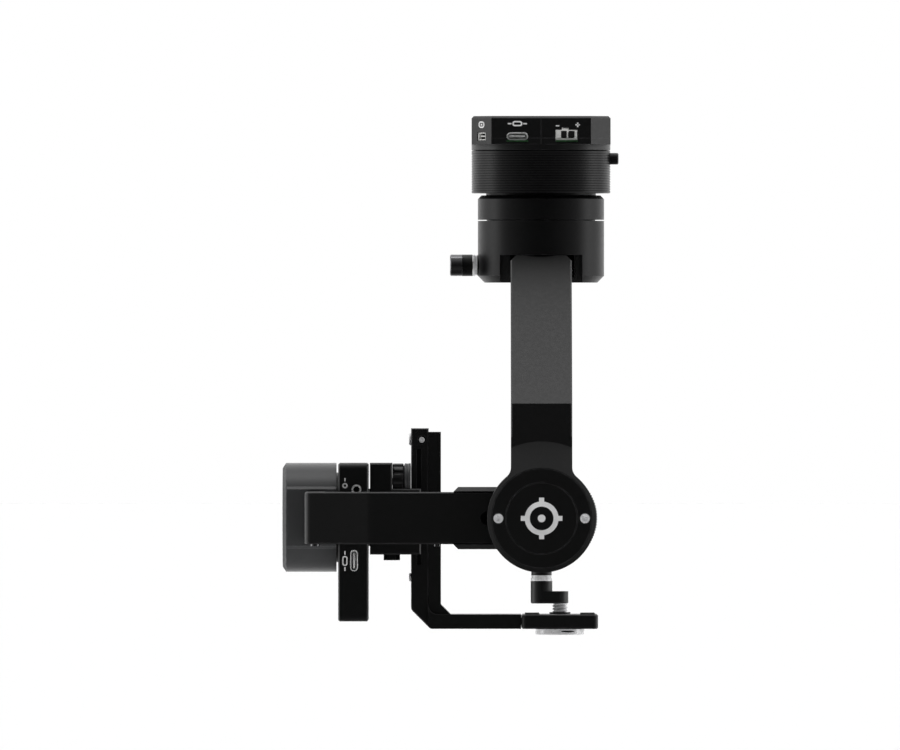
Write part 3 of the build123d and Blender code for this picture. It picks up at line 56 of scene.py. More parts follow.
# --------------------------------------------------------------------------------------------
# Materials
# --------------------------------------------------------------------------------------------
class Shader:
    """A procedural material: methods add detail to one Principled shader."""

    def __init__(self, name, colour, rough, metallic=0.0, specular=0.5, coat=0.0):
        self.material = bpy.data.materials.new(name)
        self.material.use_nodes = True
        self.tree = self.material.node_tree
        self.principled = self.tree.nodes["Principled BSDF"]
        self.colour = colour
        self.set("Base Color", (*colour, 1))
        self.set("Roughness", rough)
        self.set("Metallic", metallic)
        self.set("Specular IOR Level", specular)
        self.set("Coat Weight", coat)
        self.rough = rough
        self.coords = self.add("ShaderNodeTexCoord").outputs["Object"]
        self.normal = None

    def set(self, socket, value):
        self.principled.inputs[socket].default_value = value

    def add(self, kind, **settings):
        node = self.tree.nodes.new(kind)
        for key, value in settings.items():
            setattr(node, key, value)
        return node

    def link(self, source, target):
        self.tree.links.new(source, target)

    def noise(self, scale, detail=2.0, stretch=(1, 1, 1)):
        """Fractal noise over object space. A large stretch on an axis draws it into streaks."""
        mapping = self.add("ShaderNodeMapping")
        mapping.inputs["Scale"].default_value = stretch
        self.link(self.coords, mapping.inputs["Vector"])
        node = self.add("ShaderNodeTexNoise")
        node.inputs["Scale"].default_value = scale
        node.inputs["Detail"].default_value = detail
        self.link(mapping.outputs["Vector"], node.inputs["Vector"])
        return node.outputs["Fac"]

    def remap(self, source, low, high, start=0.35, end=0.65):
        """Maps the range from start to end onto the range from low to high."""
        node = self.add("ShaderNodeMapRange")
        limits = {"From Min": start, "From Max": end, "To Min": low, "To Max": high}
        for socket, value in limits.items():
            node.inputs[socket].default_value = value
        self.link(source, node.inputs["Value"])
        return node.outputs["Result"]

    def blend(self, factor, first, second):
        """Mixes two colours, either of which may be a socket."""
        node = self.add("ShaderNodeMix", data_type="RGBA")
        self.link(factor, node.inputs["Factor"])
        for socket, value in (("A", first), ("B", second)):
            target = [s for s in node.inputs if s.name == socket and s.type == "RGBA"][0]
            if isinstance(value, tuple):
                target.default_value = (*value, 1)
            else:
                self.link(value, target)
        return [s for s in node.outputs if s.type == "RGBA"][0]

    def edge_mask(self, radius, sharpness=0.12):
        """1 close to a hard edge and 0 on open faces."""
        bevel = self.add("ShaderNodeBevel", samples=4)
        bevel.inputs["Radius"].default_value = radius
        geometry = self.add("ShaderNodeNewGeometry")
        dot = self.add("ShaderNodeVectorMath", operation="DOT_PRODUCT")
        self.link(bevel.outputs["Normal"], dot.inputs[0])
        self.link(geometry.outputs["Normal"], dot.inputs[1])
        return self.remap(dot.outputs["Value"], 1.0, 0.0, 1.0 - sharpness, 1.0)

    def round_edges(self, radius):
        """Shades hard edges as if they were rounded. It comes before the first bump."""
        bevel = self.add("ShaderNodeBevel", samples=6)
        bevel.inputs["Radius"].default_value = radius
        self.normal = bevel.outputs["Normal"]
        self.link(self.normal, self.principled.inputs["Normal"])

    def bump(self, height, depth, strength=1.0):
        """Adds a bump on top of those already there."""
        node = self.add("ShaderNodeBump")
        node.inputs["Strength"].default_value = strength
        node.inputs["Distance"].default_value = depth
        self.link(height, node.inputs["Height"])
        if self.normal is not None:
            self.link(self.normal, node.inputs["Normal"])
        self.normal = node.outputs["Normal"]
        self.link(self.normal, self.principled.inputs["Normal"])

    def tone(self, dark, light, scale=45, edge_wear_and_highlight=None, edge_wear_and_highlight_radius=0.3 * MM):
        """Cloudy colour between two multiples of the base colour, with lighter edges that are
        partly wear and partly painted highlight.
        """
        lows = tuple(c * dark for c in self.colour)
        highs = tuple(c * light for c in self.colour)
        result = self.blend(self.remap(self.noise(scale, 4.0), 0, 1), lows, highs)
        if edge_wear_and_highlight is not None:
            # Lighter colour on the edges: partly wear, partly a painted edge highlight
            mask = self.add("ShaderNodeMath", operation="MULTIPLY")
            self.link(self.edge_mask(edge_wear_and_highlight_radius), mask.inputs[0])
            self.link(self.remap(self.noise(260, 3.0), 0.1, 0.8), mask.inputs[1])
            result = self.blend(mask.outputs["Value"], result, edge_wear_and_highlight)
        self.link(result, self.principled.inputs["Base Color"])

    def sheen_spread(self, amount, scale=420):
        """Lets the roughness drift by amount to both sides of its base value."""
        noise = self.noise(scale, 3.0)
        spread = self.remap(noise, self.rough - amount, self.rough + amount)
        self.link(spread, self.principled.inputs["Roughness"])


def anodised(name, colour, rough=0.42, specular=0.5, edge_wear_and_highlight=(0.07, 0.07, 0.075), streaks=None):
    """Bead-blasted, anodised alloy: fine grain, cloudy tone and lighter edges, partly wear and
    partly painted highlight.
    """
    shader = Shader(name, colour, rough, specular=specular)
    shader.round_edges(0.22 * MM)
    shader.bump(shader.noise(5200, 2.0), 0.006 * MM, 0.5)
    if streaks is not None:
        shader.bump(shader.noise(60, 2.0, streaks), 0.006 * MM, 0.4)
    shader.tone(0.9, 1.12, 30, edge_wear_and_highlight=edge_wear_and_highlight)
    shader.sheen_spread(0.025, 700)
    return shader.material


def steel(name, colour, rough=0.24, metallic=1.0):
    """Turned bright metal with very fine streaks round Z."""
    shader = Shader(name, colour, rough, metallic=metallic)
    shader.round_edges(0.12 * MM)
    shader.bump(shader.noise(160, 2.0, (1, 1, 60)), 0.0008 * MM, 0.4)
    shader.tone(0.9, 1.06, 160)
    shader.sheen_spread(0.05, 800)
    return shader.material


def moulded(name, colour, rough, coat=0.0):
    """Moulded plastic with a fine spark-eroded grain."""
    shader = Shader(name, colour, rough, specular=0.45, coat=coat)
    shader.round_edges(0.15 * MM)
    shader.bump(shader.noise(1500, 3.0), 0.012 * MM, 0.5)
    shader.tone(0.9, 1.08, 120)
    shader.sheen_spread(0.06)
    return shader.material


def winding(name, colour):
    """Enamelled wire: close parallel turns."""
    shader = Shader(name, colour, 0.3, metallic=1.0)
    wave = shader.add("ShaderNodeTexWave", bands_direction="DIAGONAL")
    wave.inputs["Scale"].default_value = 800
    shader.link(shader.coords, wave.inputs["Vector"])
    shader.bump(wave.outputs["Fac"], 0.1 * MM, 0.8)
    shader.tone(0.7, 1.15, 300)
    shader.sheen_spread(0.08)
    return shader.material


def laminated(name, colour):
    """Stacked steel sheets."""
    shader = Shader(name, colour, 0.45, metallic=0.9)
    wave = shader.add("ShaderNodeTexWave", bands_direction="Z")
    wave.inputs["Scale"].default_value = 500
    shader.link(shader.coords, wave.inputs["Vector"])
    shader.bump(wave.outputs["Fac"], 0.08 * MM, 0.7)
    shader.tone(0.75, 1.2, 200)
    shader.sheen_spread(0.08)
    return shader.material


def circuit_board(name, colour):
    """Solder mask over copper tracks, with pale glass fibre showing in the gaps between them."""
    shader = Shader(name, colour, 0.35, specular=0.5, coat=0.25)
    tracks = shader.add("ShaderNodeTexBrick", offset=0.5)
    layout = {"Scale": 180.0, "Mortar Size": 0.03, "Brick Width": 0.9, "Row Height": 0.3}
    for socket, value in layout.items():
        tracks.inputs[socket].default_value = value
    tracks.inputs["Color1"].default_value = (*colour, 1)
    tracks.inputs["Color2"].default_value = (*[c * 0.8 for c in colour], 1)
    tracks.inputs["Mortar"].default_value = (*[min(1, c * 1.8 + 0.02) for c in colour], 1)
    shader.link(shader.coords, tracks.inputs["Vector"])
    shader.link(tracks.outputs["Color"], shader.principled.inputs["Base Color"])
    shader.bump(tracks.outputs["Fac"], 0.03 * MM, 0.4)
    shader.sheen_spread(0.05)
    return shader.material


def ribbed_rubber(name, colour):
    """Soft black rubber with fine ribs."""
    shader = Shader(name, colour, 0.75, specular=0.3)
    wave = shader.add("ShaderNodeTexWave", bands_direction="Y")
    wave.inputs["Scale"].default_value = 320
    shader.link(shader.coords, wave.inputs["Vector"])
    shader.bump(wave.outputs["Fac"], 0.15 * MM, 0.8)
    shader.bump(shader.noise(2500), 0.02 * MM, 0.5)
    shader.tone(0.8, 1.3, 90)
    shader.sheen_spread(0.08)
    return shader.material


RIB_PITCH = 1.042 * MM
RIB_PHASE = 5.0


def ribbed_ring(name, colour):
    """Black anodised grip: the CAD ribs with dark, dull grooves between their satin crests."""
    shader = Shader(name, colour, 0.36, specular=0.25)
    shader.round_edges(0.06 * MM)
    wave = shader.add("ShaderNodeTexWave", bands_direction="Z")
    wave.inputs["Scale"].default_value = 0.1 * math.pi / RIB_PITCH
    wave.inputs["Phase Offset"].default_value = RIB_PHASE
    shader.link(shader.coords, wave.inputs["Vector"])
    shader.bump(wave.outputs["Fac"], 0.05 * MM, 0.35)
    shader.bump(shader.noise(5200, 2.0), 0.006 * MM, 0.5)
    shader.tone(0.9, 1.12, 30)
    shader.sheen_spread(0.025, 700)
    gloss = shader.remap(wave.outputs["Fac"], 0.12, 0.3, 0.2, 0.8)
    shader.link(gloss, shader.principled.inputs["Specular IOR Level"])
    return shader.material


BLACK = (0.0035, 0.0035, 0.0038)
M = {
    "black": anodised("anodised_black", BLACK),
    "rails": anodised("rail_black", (0.015, 0.015, 0.0155)),
    "turned": anodised("turned_black", BLACK, 0.38, 0.22, streaks=(1, 1, 90)),
    "ring": ribbed_ring("ring_black", (0.006, 0.006, 0.0065)),
    "face_turned": anodised("face_turned_black", BLACK, 0.38, streaks=(1, 60, 1)),
    "grey": anodised(
        # The grey's light edge colour is partly wear and partly painted highlight
        "anodised_grey", (0.055, 0.056, 0.058), 0.36, 0.4, (0.25, 0.25, 0.26), (90, 1, 1),
    ),
    "black_chrome": steel("black_chrome", (0.16, 0.16, 0.165), 0.22),
    "steel": steel("turned_steel", (0.85, 0.85, 0.86), 0.3, metallic=0.2),
    "thread": steel("thread_steel", (0.9, 0.9, 0.91), 0.28, metallic=0.12),
    "lamination": laminated("motor_lamination", (0.16, 0.16, 0.17)),
    "copper": winding("copper_winding", (0.72, 0.34, 0.16)),
    "magnet": steel("magnet_nickel", (0.45, 0.45, 0.46), 0.3),
    # The board's green is darker than its own colour: painted shade for the board seen in shadow
    # behind the port windows
    "board": circuit_board("board_green", (0.007, 0.055, 0.011)),
    "nylon": moulded("nylon_white", (0.74, 0.74, 0.72), 0.42),
    "plastic": moulded("plastic_black", (0.008, 0.008, 0.008), 0.48),
    "tongue": moulded("tongue_grey", (0.75, 0.75, 0.75), 0.35),
    "port": steel("port_shell", (0.9, 0.9, 0.9), 0.28, metallic=0.1),
    "gold": steel("contact_gold", (0.2, 0.15, 0.07), 0.3),
    "rubber": ribbed_rubber("pad_rubber", (0.006, 0.006, 0.006)),
    "inlay": moulded("inlay_light", (0.8, 0.8, 0.8), 0.35, coat=0.3),
}

FINISH = {
    "rails": "arm_clamp_rails",
    "black": """head_shell head_base release_button vertical_arm arm_clamp roll_arm
        electronics_case case_lid rail_clamp clamp_bolt camera_rail l_bracket camera_tray
        pan_lock_lever roll_lock_lever""",
    "ring": "lock_ring",
    "turned": "neck pan_upper_housing pan_lower_housing pan_rotor",
    "face_turned": "roll_motor_cover roll_rotor clamp_knob rail_knob",
    "grey": "tilt_motor_housing tilt_end_cap tilt_rotor",
    "steel": """pan_lock_collar roll_lock_collar pan_lock_pin roll_lock_pin head_screws
        frame_screws cover_screws stop_screws camera_screw screw_ring pan_bearings roll_bearings
        tilt_bearings""",
    "black_chrome": "bar_screws",
    "lamination": "pan_stator roll_stator tilt_stator",
    "copper": "pan_coils roll_coils tilt_coils",
    "magnet": "pan_magnets roll_magnets tilt_magnets",
    "board": "head_board case_board",
    "nylon": "power_connector",
    "gold": "power_pins",
    "plastic": "side_connector",
    "port": "data_port case_ports",
    "rubber": "tray_pads",
    "inlay": "cover_inlay",
}


def paint(obj, material):
    obj.data.materials.clear()
    obj.data.materials.append(material)


for finish, names in FINISH.items():
    for node_name in names.split():
        paint(NODES[node_name], M[finish])


# --------------------------------------------------------------------------------------------
# Mesh helpers. Their sizes are in millimetres.
# --------------------------------------------------------------------------------------------
SHARP_ANGLE = math.radians(32)


def piece(name, bm, material, body):
    """Turns a bmesh drawn in millimetres into a smooth piece that rides on a body."""
    bmesh.ops.recalc_face_normals(bm, faces=bm.faces)
    mesh = bpy.data.meshes.new(name)
    bm.to_mesh(mesh)
    bm.free()
    mesh.transform(Matrix.Scale(MM, 4))
    obj = bpy.data.objects.new(name, mesh)
    scene.collection.objects.link(obj)
    mesh.materials.append(material)
    mesh.shade_smooth()
    mesh.set_sharp_from_angle(angle=SHARP_ANGLE)
    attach(obj, body)
    return obj


def way(origin, axis, turn=0.0):
    """A frame whose z points along axis, at origin, turned about that axis."""
    rotation = Vector(axis).to_track_quat("Z", "Y").to_matrix().to_4x4()
    return Matrix.Translation(Vector(origin)) @ rotation @ Matrix.Rotation(turn, 4, "Z")


def lathe(bm, frame_matrix, profile, segments=96, close=False):
    """Turns (radius, height) points about the frame's z.

    A radius may be a function of the angle. With close, the last point joins the first.
    """
    loops = []
    for radius, height in profile:
        loop = []
        for i in range(segments):
            angle = 2 * math.pi * i / segments
            r = radius(angle) if callable(radius) else radius
            point = Vector((r * math.cos(angle), r * math.sin(angle), height))
            loop.append(bm.verts.new(frame_matrix @ point))
        loops.append(loop)
    pairs = list(zip(loops, loops[1:]))
    if close:
        pairs.append((loops[-1], loops[0]))
    for low, high in pairs:
        for i in range(segments):
            j = (i + 1) % segments
            bm.faces.new((low[i], low[j], high[j], high[i]))
    if not close:
        bm.faces.new(loops[0][::-1])
        bm.faces.new(loops[-1])


def hexagon(across_flats):
    """The radius of a hexagon at an angle, for a socket's walls."""
    def radius(angle):
        inside = (angle + math.pi / 6) % (math.pi / 3) - math.pi / 6
        return across_flats / 2 / math.cos(inside)
    return radius


def knurl(radius, depth, count):
    """A radius with straight knurling."""
    def wavy(angle):
        return radius - depth * (0.5 + 0.5 * math.cos(count * angle))
    return wavy


def socket_head(bm, origin, axis, head_r, height):
    """A knurled socket screw head with a chamfered rim and a hexagon socket."""
    side = knurl(head_r, 0.05 * head_r, 36)
    flats = head_r * 0.98
    profile = [
        (0.2 * head_r, 0.0),
        (0.96 * head_r, 0.0),
        (side, 0.06 * height),
        (side, 0.78 * height),
        (0.88 * head_r, height),
        (1.12 * flats / 2 + 0.12 * head_r, height),
        (hexagon(flats * 1.04), 0.97 * height),
        (hexagon(flats), 0.9 * height),
        (hexagon(flats), 0.35 * height),
        (0.15 * head_r, 0.28 * height),
    ]
    lathe(bm, way(origin, axis), profile, 144)


def rounded_outline(width, height, radius, steps=8):
    """Points of a rounded rectangle, anticlockwise."""
    points = []
    corners = ((1, 1, 0), (-1, 1, 90), (-1, -1, 180), (1, -1, 270))
    for sx, sy, start in corners:
        for k in range(steps + 1):
            angle = math.radians(start + 90 * k / steps)
            x = sx * (width / 2 - radius) + radius * math.cos(angle)
            y = sy * (height / 2 - radius) + radius * math.sin(angle)
            points.append((x, y))
    return points


def loft(bm, frame_matrix, sections):
    """Joins outlines of equal length, each given with its height, and caps both ends."""
    loops = []
    for outline, height in sections:
        loops.append([bm.verts.new(frame_matrix @ Vector((x, y, height))) for x, y in outline])
    count = len(loops[0])
    for low, high in zip(loops, loops[1:]):
        for i in range(count):
            j = (i + 1) % count
            bm.faces.new((low[i], low[j], high[j], high[i]))
    bm.faces.new(loops[0][::-1])
    bm.faces.new(loops[-1])


def block(bm, frame_matrix, size, radius=0.15):
    """A rounded block centred on the frame."""
    w, h, d = size
    inner = rounded_outline(w - radius, h - radius, radius, 3)
    outer = rounded_outline(w, h, radius, 3)
    half = d / 2
    edge = radius / 2
    sections = [(inner, -half), (outer, edge - half), (outer, half - edge), (inner, half)]
    loft(bm, frame_matrix, sections)


# --------------------------------------------------------------------------------------------
# Screws
# --------------------------------------------------------------------------------------------
def screw_set(name, node, body, places, head_r, height):
    """One piece with a screw head at each (origin, axis), which replaces a node if one is given."""
    bm = bmesh.new()
    for origin, axis in places:
        socket_head(bm, origin, axis, head_r, height)
    heads = piece(name, bm, M["steel"], body)
    if node is not None:
        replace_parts(heads, node)


LID_SEAT_X = -72.3
LID_SCREW_Y = 21
LID_SCREW_Z = (-148.6, -206.0)
screw_set(
    "case_lid_screw_heads", None, "tilt_frame",
    [((LID_SEAT_X, y, z), RIGHT) for y in (-LID_SCREW_Y, LID_SCREW_Y) for z in LID_SCREW_Z],
    1.4, 0.55,
)

HEAD_SEAT_Z = -12.45
HEAD_SCREW_X, HEAD_SCREW_Y = 23, 8
screw_set(
    "head_screw_heads", "head_screws", "base",
    [
        ((x, y, HEAD_SEAT_Z), DOWN)
        for x in (-HEAD_SCREW_X, HEAD_SCREW_X) for y in (-HEAD_SCREW_Y, HEAD_SCREW_Y)
    ],
    2.2, 1.4,
)

COVER_SEAT_Y = -91.9
COVER_SCREW_X = 17.9
screw_set(
    "cover_screw_heads", "cover_screws", "arm",
    [((x, COVER_SEAT_Y, AXIS_Z), NEAR) for x in (-COVER_SCREW_X, COVER_SCREW_X)],
    2.1, 1.0,
)

# --------------------------------------------------------------------------------------------
# Ports
# --------------------------------------------------------------------------------------------
USB_PINS = 12
USB_PIN_PITCH = 0.5


def usb_port(name, origin, turn, body):
    """A USB-C receptacle: rolled steel shell, plastic tongue and plated contacts."""
    frame_matrix = way(origin, NEAR, turn)
    shell = bmesh.new()
    outer = rounded_outline(8.94, 3.3, 1.6)
    lip = rounded_outline(8.8, 3.16, 1.55)
    inner = rounded_outline(8.0, 2.36, 1.15)
    sections = [(outer, -7.0), (outer, -0.07), (lip, 0), (inner, 0), (inner, -6.2)]
    loft(shell, frame_matrix, sections)
    made = [piece(name + "_shell", shell, M["port"], body)]
    tongue = bmesh.new()
    block(tongue, frame_matrix @ Matrix.Translation((0, 0, -3.3)), (6.5, 0.75, 5.4), 0.3)
    made.append(piece(name + "_tongue", tongue, M["tongue"], body))
    contacts = bmesh.new()
    for side in (-1, 1):
        for k in range(USB_PINS):
            across = (k - (USB_PINS - 1) / 2) * USB_PIN_PITCH
            place = Matrix.Translation((across, side * 0.36, -3.9))
            block(contacts, frame_matrix @ place, (0.25, 0.06, 3.6), 0.02)
    made.append(piece(name + "_contacts", contacts, M["gold"], body))
    return made


port_low, port_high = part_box("data_port")
port_centre = (port_low + port_high) / 2 / MM
for part in usb_port("data_port", (port_centre.x, port_low.y / MM, port_centre.z), 0, "base"):
    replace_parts(part, "data_port")

case_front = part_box("case_ports")[0].y / MM
case_made = usb_port("case_port", (-77.8, case_front, -184.9), math.pi / 2, "tilt_frame")
jack_frame = way((-76.8, case_front, -155.3), NEAR)
jack_barrel = bmesh.new()
lathe(
    jack_barrel, jack_frame,
    [(2.1, -8), (2.1, -0.1), (2.0, 0), (1.5, 0), (1.35, -0.15), (1.25, -6.5)], 64,
)
case_made.append(piece("jack_barrel", jack_barrel, M["port"], "tilt_frame"))
jack_lining = bmesh.new()
lathe(
    jack_lining, jack_frame,
    [(1.24, -6.4), (1.24, -0.5), (1.0, -0.6), (0.95, -6.2)], 48,
)
case_made.append(piece("jack_lining", jack_lining, M["plastic"], "tilt_frame"))
for part in case_made:
    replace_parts(part, "case_ports")

# --------------------------------------------------------------------------------------------
# Camera screw: the head keeps the CAD shape, and the threaded end gets a real thread
# --------------------------------------------------------------------------------------------
SCREW_X = 7.9
THREAD_START = -206.45
SCREW_TOP = -201.8
PITCH = 1.27
MAJOR_R = 3.175
THREAD_DEPTH = 0.7
CORE_R = MAJOR_R - THREAD_DEPTH
HEAD_R = 10.0
HEAD_RIM_R = 10.05

head_bm = bmesh.new()
head_bm.from_mesh(NODES["camera_screw"].data)
bmesh.ops.scale(head_bm, vec=(1 / MM, 1 / MM, 1 / MM), verts=head_bm.verts)
bmesh.ops.remove_doubles(head_bm, verts=head_bm.verts, dist=0.001)
bmesh.ops.bisect_plane(
    head_bm, geom=head_bm.verts[:] + head_bm.edges[:] + head_bm.faces[:],
    plane_co=(0, 0, THREAD_START - 0.1), plane_no=UP, clear_outer=True,
)
bmesh.ops.holes_fill(head_bm, edges=[e for e in head_bm.edges if e.is_boundary])
for vert in head_bm.verts:
    reach = math.hypot(vert.co.x - SCREW_X, vert.co.y)
    if reach > HEAD_R:
        vert.co.x = SCREW_X + (vert.co.x - SCREW_X) * HEAD_RIM_R / reach
        vert.co.y *= HEAD_RIM_R / reach
screw_head = piece("camera_screw_head", head_bm, M["steel"], "camera_screw")

screw_frame = way((SCREW_X, 0, 0), UP)
rim_bm = bmesh.new()
lathe(
    rim_bm, screw_frame,
    [
        (9.6, -215.62), (10.08, -215.62), (10.2, -215.5),
        (10.2, -213.55), (10.08, -213.43), (9.6, -213.43),
    ],
    192, close=True,
)
screw_rim = piece("camera_screw_rim", rim_bm, M["steel"], "camera_screw")
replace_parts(screw_rim, "camera_screw")


def thread_radius(angle, z):
    """The 60 degree thread's radius at an angle and height, with a tapered lead at the free end."""
    phase = (z / PITCH - angle / (2 * math.pi)) % 1.0
    ramp = 1 - abs(2 * phase - 1)
    flank = min(1.0, max(0.0, (ramp - 0.1) / 0.5))
    lead = min(1.0, max(0.0, (SCREW_TOP - z) / 0.9))
    return CORE_R + THREAD_DEPTH * flank * lead


ROWS_PER_TURN = 20
rows = int((SCREW_TOP - THREAD_START) / PITCH * ROWS_PER_TURN) + 1
thread_profile = [(2.5, THREAD_START - 0.1)]
for row in range(rows + 1):
    z = THREAD_START + (SCREW_TOP - THREAD_START) * row / rows
    thread_profile.append((lambda angle, z=z: thread_radius(angle, z), z))
thread_profile.append((CORE_R - 0.35, SCREW_TOP))
thread_bm = bmesh.new()
lathe(thread_bm, screw_frame, thread_profile, 72)
thread = piece("camera_screw_thread", thread_bm, M["thread"], "camera_screw")
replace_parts(screw_head, "camera_screw")
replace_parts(thread, "camera_screw")

# --------------------------------------------------------------------------------------------
# Turned and knurled pieces
# --------------------------------------------------------------------------------------------
# The clamp knob behind the roll motor, with a straight knurl and a recessed face
KNOB_X, KNOB_NEAR, KNOB_R = 3.3, -60.1, 20.0
KNOB_TEETH = 110
knurled = knurl(KNOB_R, 0.45, KNOB_TEETH)
knob_bm = bmesh.new()
lathe(
    knob_bm, way((KNOB_X, KNOB_NEAR, AXIS_Z), FAR),
    [
        (2.53, 0), (KNOB_R - 0.8, 0), (knurled, 0.45), (knurled, 2.65), (KNOB_R - 0.8, 3.1),
        (17.2, 3.1), (16.8, 2.3), (10.2, 2.3), (10.0, 2.2), (9.8, 2.3), (6.4, 2.3), (6.0, 3.1),
        (2.53, 3.1),
    ],
    KNOB_TEETH * 4, close=True,
)
knob_piece = piece("clamp_knob_knurled", knob_bm, M["face_turned"], "clamp_knob")
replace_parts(knob_piece, "clamp_knob")

# Fine teeth on the chamfer of the tilt motor's rim, whose ends are read from the CAD mesh
TILT_FACE, TILT_R = -107.6, 22.7
TEETH = 250
NEAR_ENOUGH = 0.05
housing = []
for vert in NODES["tilt_motor_housing"].data.vertices:
    housing.append((vert.co.x / MM, math.hypot(vert.co.y, vert.co.z - AXIS_Z * MM) / MM))
rim_x = min(x for x, r in housing if r > TILT_R - NEAR_ENOUGH)
rim_r = max(r for x, r in housing if x < TILT_FACE + NEAR_ENOUGH)
tooth_profile = [(TILT_R - 0.9, TILT_FACE - rim_x)]
for part, lift in ((0.02, 0.0), (0.06, 0.2), (0.94, 0.2), (0.98, 0.0)):
    r = TILT_R + (rim_r - TILT_R) * part
    x = rim_x + (TILT_FACE - rim_x) * part
    tooth_profile.append((knurl(r + 0.5 * lift, lift, TEETH), TILT_FACE - x))
tooth_profile.append((rim_r - 0.9, -0.1))
teeth_bm = bmesh.new()
lathe(teeth_bm, way((TILT_FACE, 0, AXIS_Z), LEFT), tooth_profile, TEETH * 6, close=True)
piece("tilt_rim_teeth", teeth_bm, M["grey"], "roll_arm")

# The rail knob: a lobed grip and a plain flange behind it
THUMB_R = 7.5
THUMB_LOBES = 12
thumb_frame = way((-61.8, -13.5, -151.9), RIGHT)


def lobes(radius, depth, count):
    """Radius over the angle of a grip with round hollows between flat lobes."""
    def at(angle):
        swing = 0.5 + 0.5 * math.cos(count * angle)
        return radius - depth * max(0.0, swing - 0.45) / 0.55
    return at


grip = lobes(THUMB_R, 0.75, THUMB_LOBES)
low_edge = lobes(THUMB_R - 0.15, 0.7, THUMB_LOBES)
high_edge = lobes(THUMB_R - 0.2, 0.6, THUMB_LOBES)
thumb_bm = bmesh.new()
lathe(
    thumb_bm, thumb_frame,
    [
        (0.6, -4.4), (1.4, -4.3), (1.5, -4.1), (1.5, 0), (6.9, 0), (low_edge, 0.12),
        (grip, 0.4), (grip, 4.3), (high_edge, 4.5), (6.5, 4.7), (6.5, 4.9), (1.0, 4.9),
    ],
    THUMB_LOBES * 16,
)
thumb = piece("rail_knob_grip", thumb_bm, M["face_turned"], "rail_knob")
pad_bm = bmesh.new()
lathe(
    pad_bm, thumb_frame,
    [
        (1.0, 4.9), (6.9, 4.9), (7.35, 5.1), (THUMB_R, 5.3), (THUMB_R, 5.6), (7.38, 5.7),
        (7.38, 6.7), (THUMB_R, 6.8), (THUMB_R, 7.3), (7.3, 7.55), (5.6, 7.6), (5.4, 7.35),
        (2.4, 7.35), (2.2, 7.6), (1.0, 7.6),
    ],
    128,
)
thumb_pad = piece("rail_knob_flange", pad_bm, M["grey"], "rail_knob")
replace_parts(thumb, "rail_knob")
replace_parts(thumb_pad, "rail_knob")

# Radius and part of the length, along a lock collar
COLLAR_STEPS = (
    (1.64, 0), (4.1, 0), (4.2, 0.05), (4.2, 0.22), (4.06, 0.25), (4.2, 0.28), (4.2, 0.45),
    (4.04, 0.48), (4.2, 0.51), (4.5, 0.55), (4.5, 0.74), (4.36, 0.77), (4.5, 0.8), (4.5, 0.95),
    (4.4, 1), (1.64, 1),
)


def lock_collar(name, node, origin, axis, length, body):
    """Two bright turned rings, the second a little wider, each with fine grooves."""
    bm = bmesh.new()
    profile = [(radius, part * length) for radius, part in COLLAR_STEPS]
    lathe(bm, way(origin, axis), profile, close=True)
    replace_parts(piece(name, bm, M["thread"], body), node)


lock_collar("pan_lock_rings", "pan_lock_collar", (-26.5, 0, -62.0), LEFT, 1.9, "pan_frame")
lock_collar("roll_lock_rings", "roll_lock_collar", (0, -77.5, AXIS_Z - 23.6), DOWN, 2.3, "arm")

# The pan lock's lever keeps its CAD shape, and its outer end is polished
POLISHED_FROM_X = -32.7
handle_mesh = NODES["pan_lock_lever"].data.copy()
handle_mesh.name = "pan_lock_handle"
handle_mesh.materials.clear()
for finish in ("black", "black_chrome"):
    handle_mesh.materials.append(M[finish])
for face in handle_mesh.polygons:
    face.material_index = int(face.center.x / MM < POLISHED_FROM_X)
handle = bpy.data.objects.new("pan_lock_handle", handle_mesh)
scene.collection.objects.link(handle)
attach(handle, "pan_lock")
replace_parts(handle, "pan_lock_lever")

# --------------------------------------------------------------------------------------------
# Marks and the small connectors on the head
# --------------------------------------------------------------------------------------------
MARK_HEIGHT = 0.04


def mark(bm, frame_matrix, x, y, width, height, hollow=0.0):
    """A printed bar, or a rounded outline if hollow gives its line width."""
    place = frame_matrix @ Matrix.Translation((x, y, 0))
    if hollow == 0.0:
        block(bm, place, (width, height, MARK_HEIGHT), 0.03)
        return
    side = min(width, height)
    outer = rounded_outline(width, height, side * 0.45, 6)
    inner = rounded_outline(width - 2 * hollow, height - 2 * hollow, side * 0.25, 6)
    half = MARK_HEIGHT / 2
    loops = []
    for outline, z in ((outer, -half), (outer, half), (inner, half), (inner, -half)):
        loops.append([bm.verts.new(place @ Vector((px, py, z))) for px, py in outline])
    loops.append(loops[0])
    count = len(outer)
    for low, high in zip(loops, loops[1:]):
        for i in range(count):
            j = (i + 1) % count
            bm.faces.new((low[i], low[j], high[j], high[i]))


# Generic marks. Each row: x, z, width, height, and the line width of a hollow one, else 0
HEAD_MARKS = (
    (6.8, -4.1, 1.5, 0.55, 0), (15.2, -3.7, 1.9, 0.6, 0), (15.2, -3.7, 0.6, 1.9, 0),
    (-9.9, -3.2, 4.2, 2.2, 0.6), (-13.1, -3.2, 1.6, 0.6, 0), (-6.7, -3.2, 1.6, 0.6, 0),
)
CASE_MARKS = (
    (-81.6, -185.0, 2.2, 4.2, 0.55), (-81.6, -181.6, 0.55, 1.6, 0), (-81.6, -188.4, 0.55, 1.6, 0),
    (-81.6, -153.7, 2.2, 2.2, 0.55), (-81.6, -151.2, 0.55, 1.4, 0),
)
HEAD_FACE_Y = -28.9
CASE_FACE_Y = -25.0
FACET = 24.8
FACET_AXIS = (-1, -1, 0)


def near_marks(bm, face_y, rows):
    """Marks on a face towards the viewer, at their x and z in the part's frame.

    It gives back whether the face's own y points up (1) or down (-1).
    """
    face_frame = way((0, face_y, 0), NEAR)
    right = math.copysign(1, face_frame.col[0].x)
    up = math.copysign(1, face_frame.col[1].z)
    for x, z, width, height, hollow in rows:
        mark(bm, face_frame, right * x, up * z, width, height, hollow)
    return up


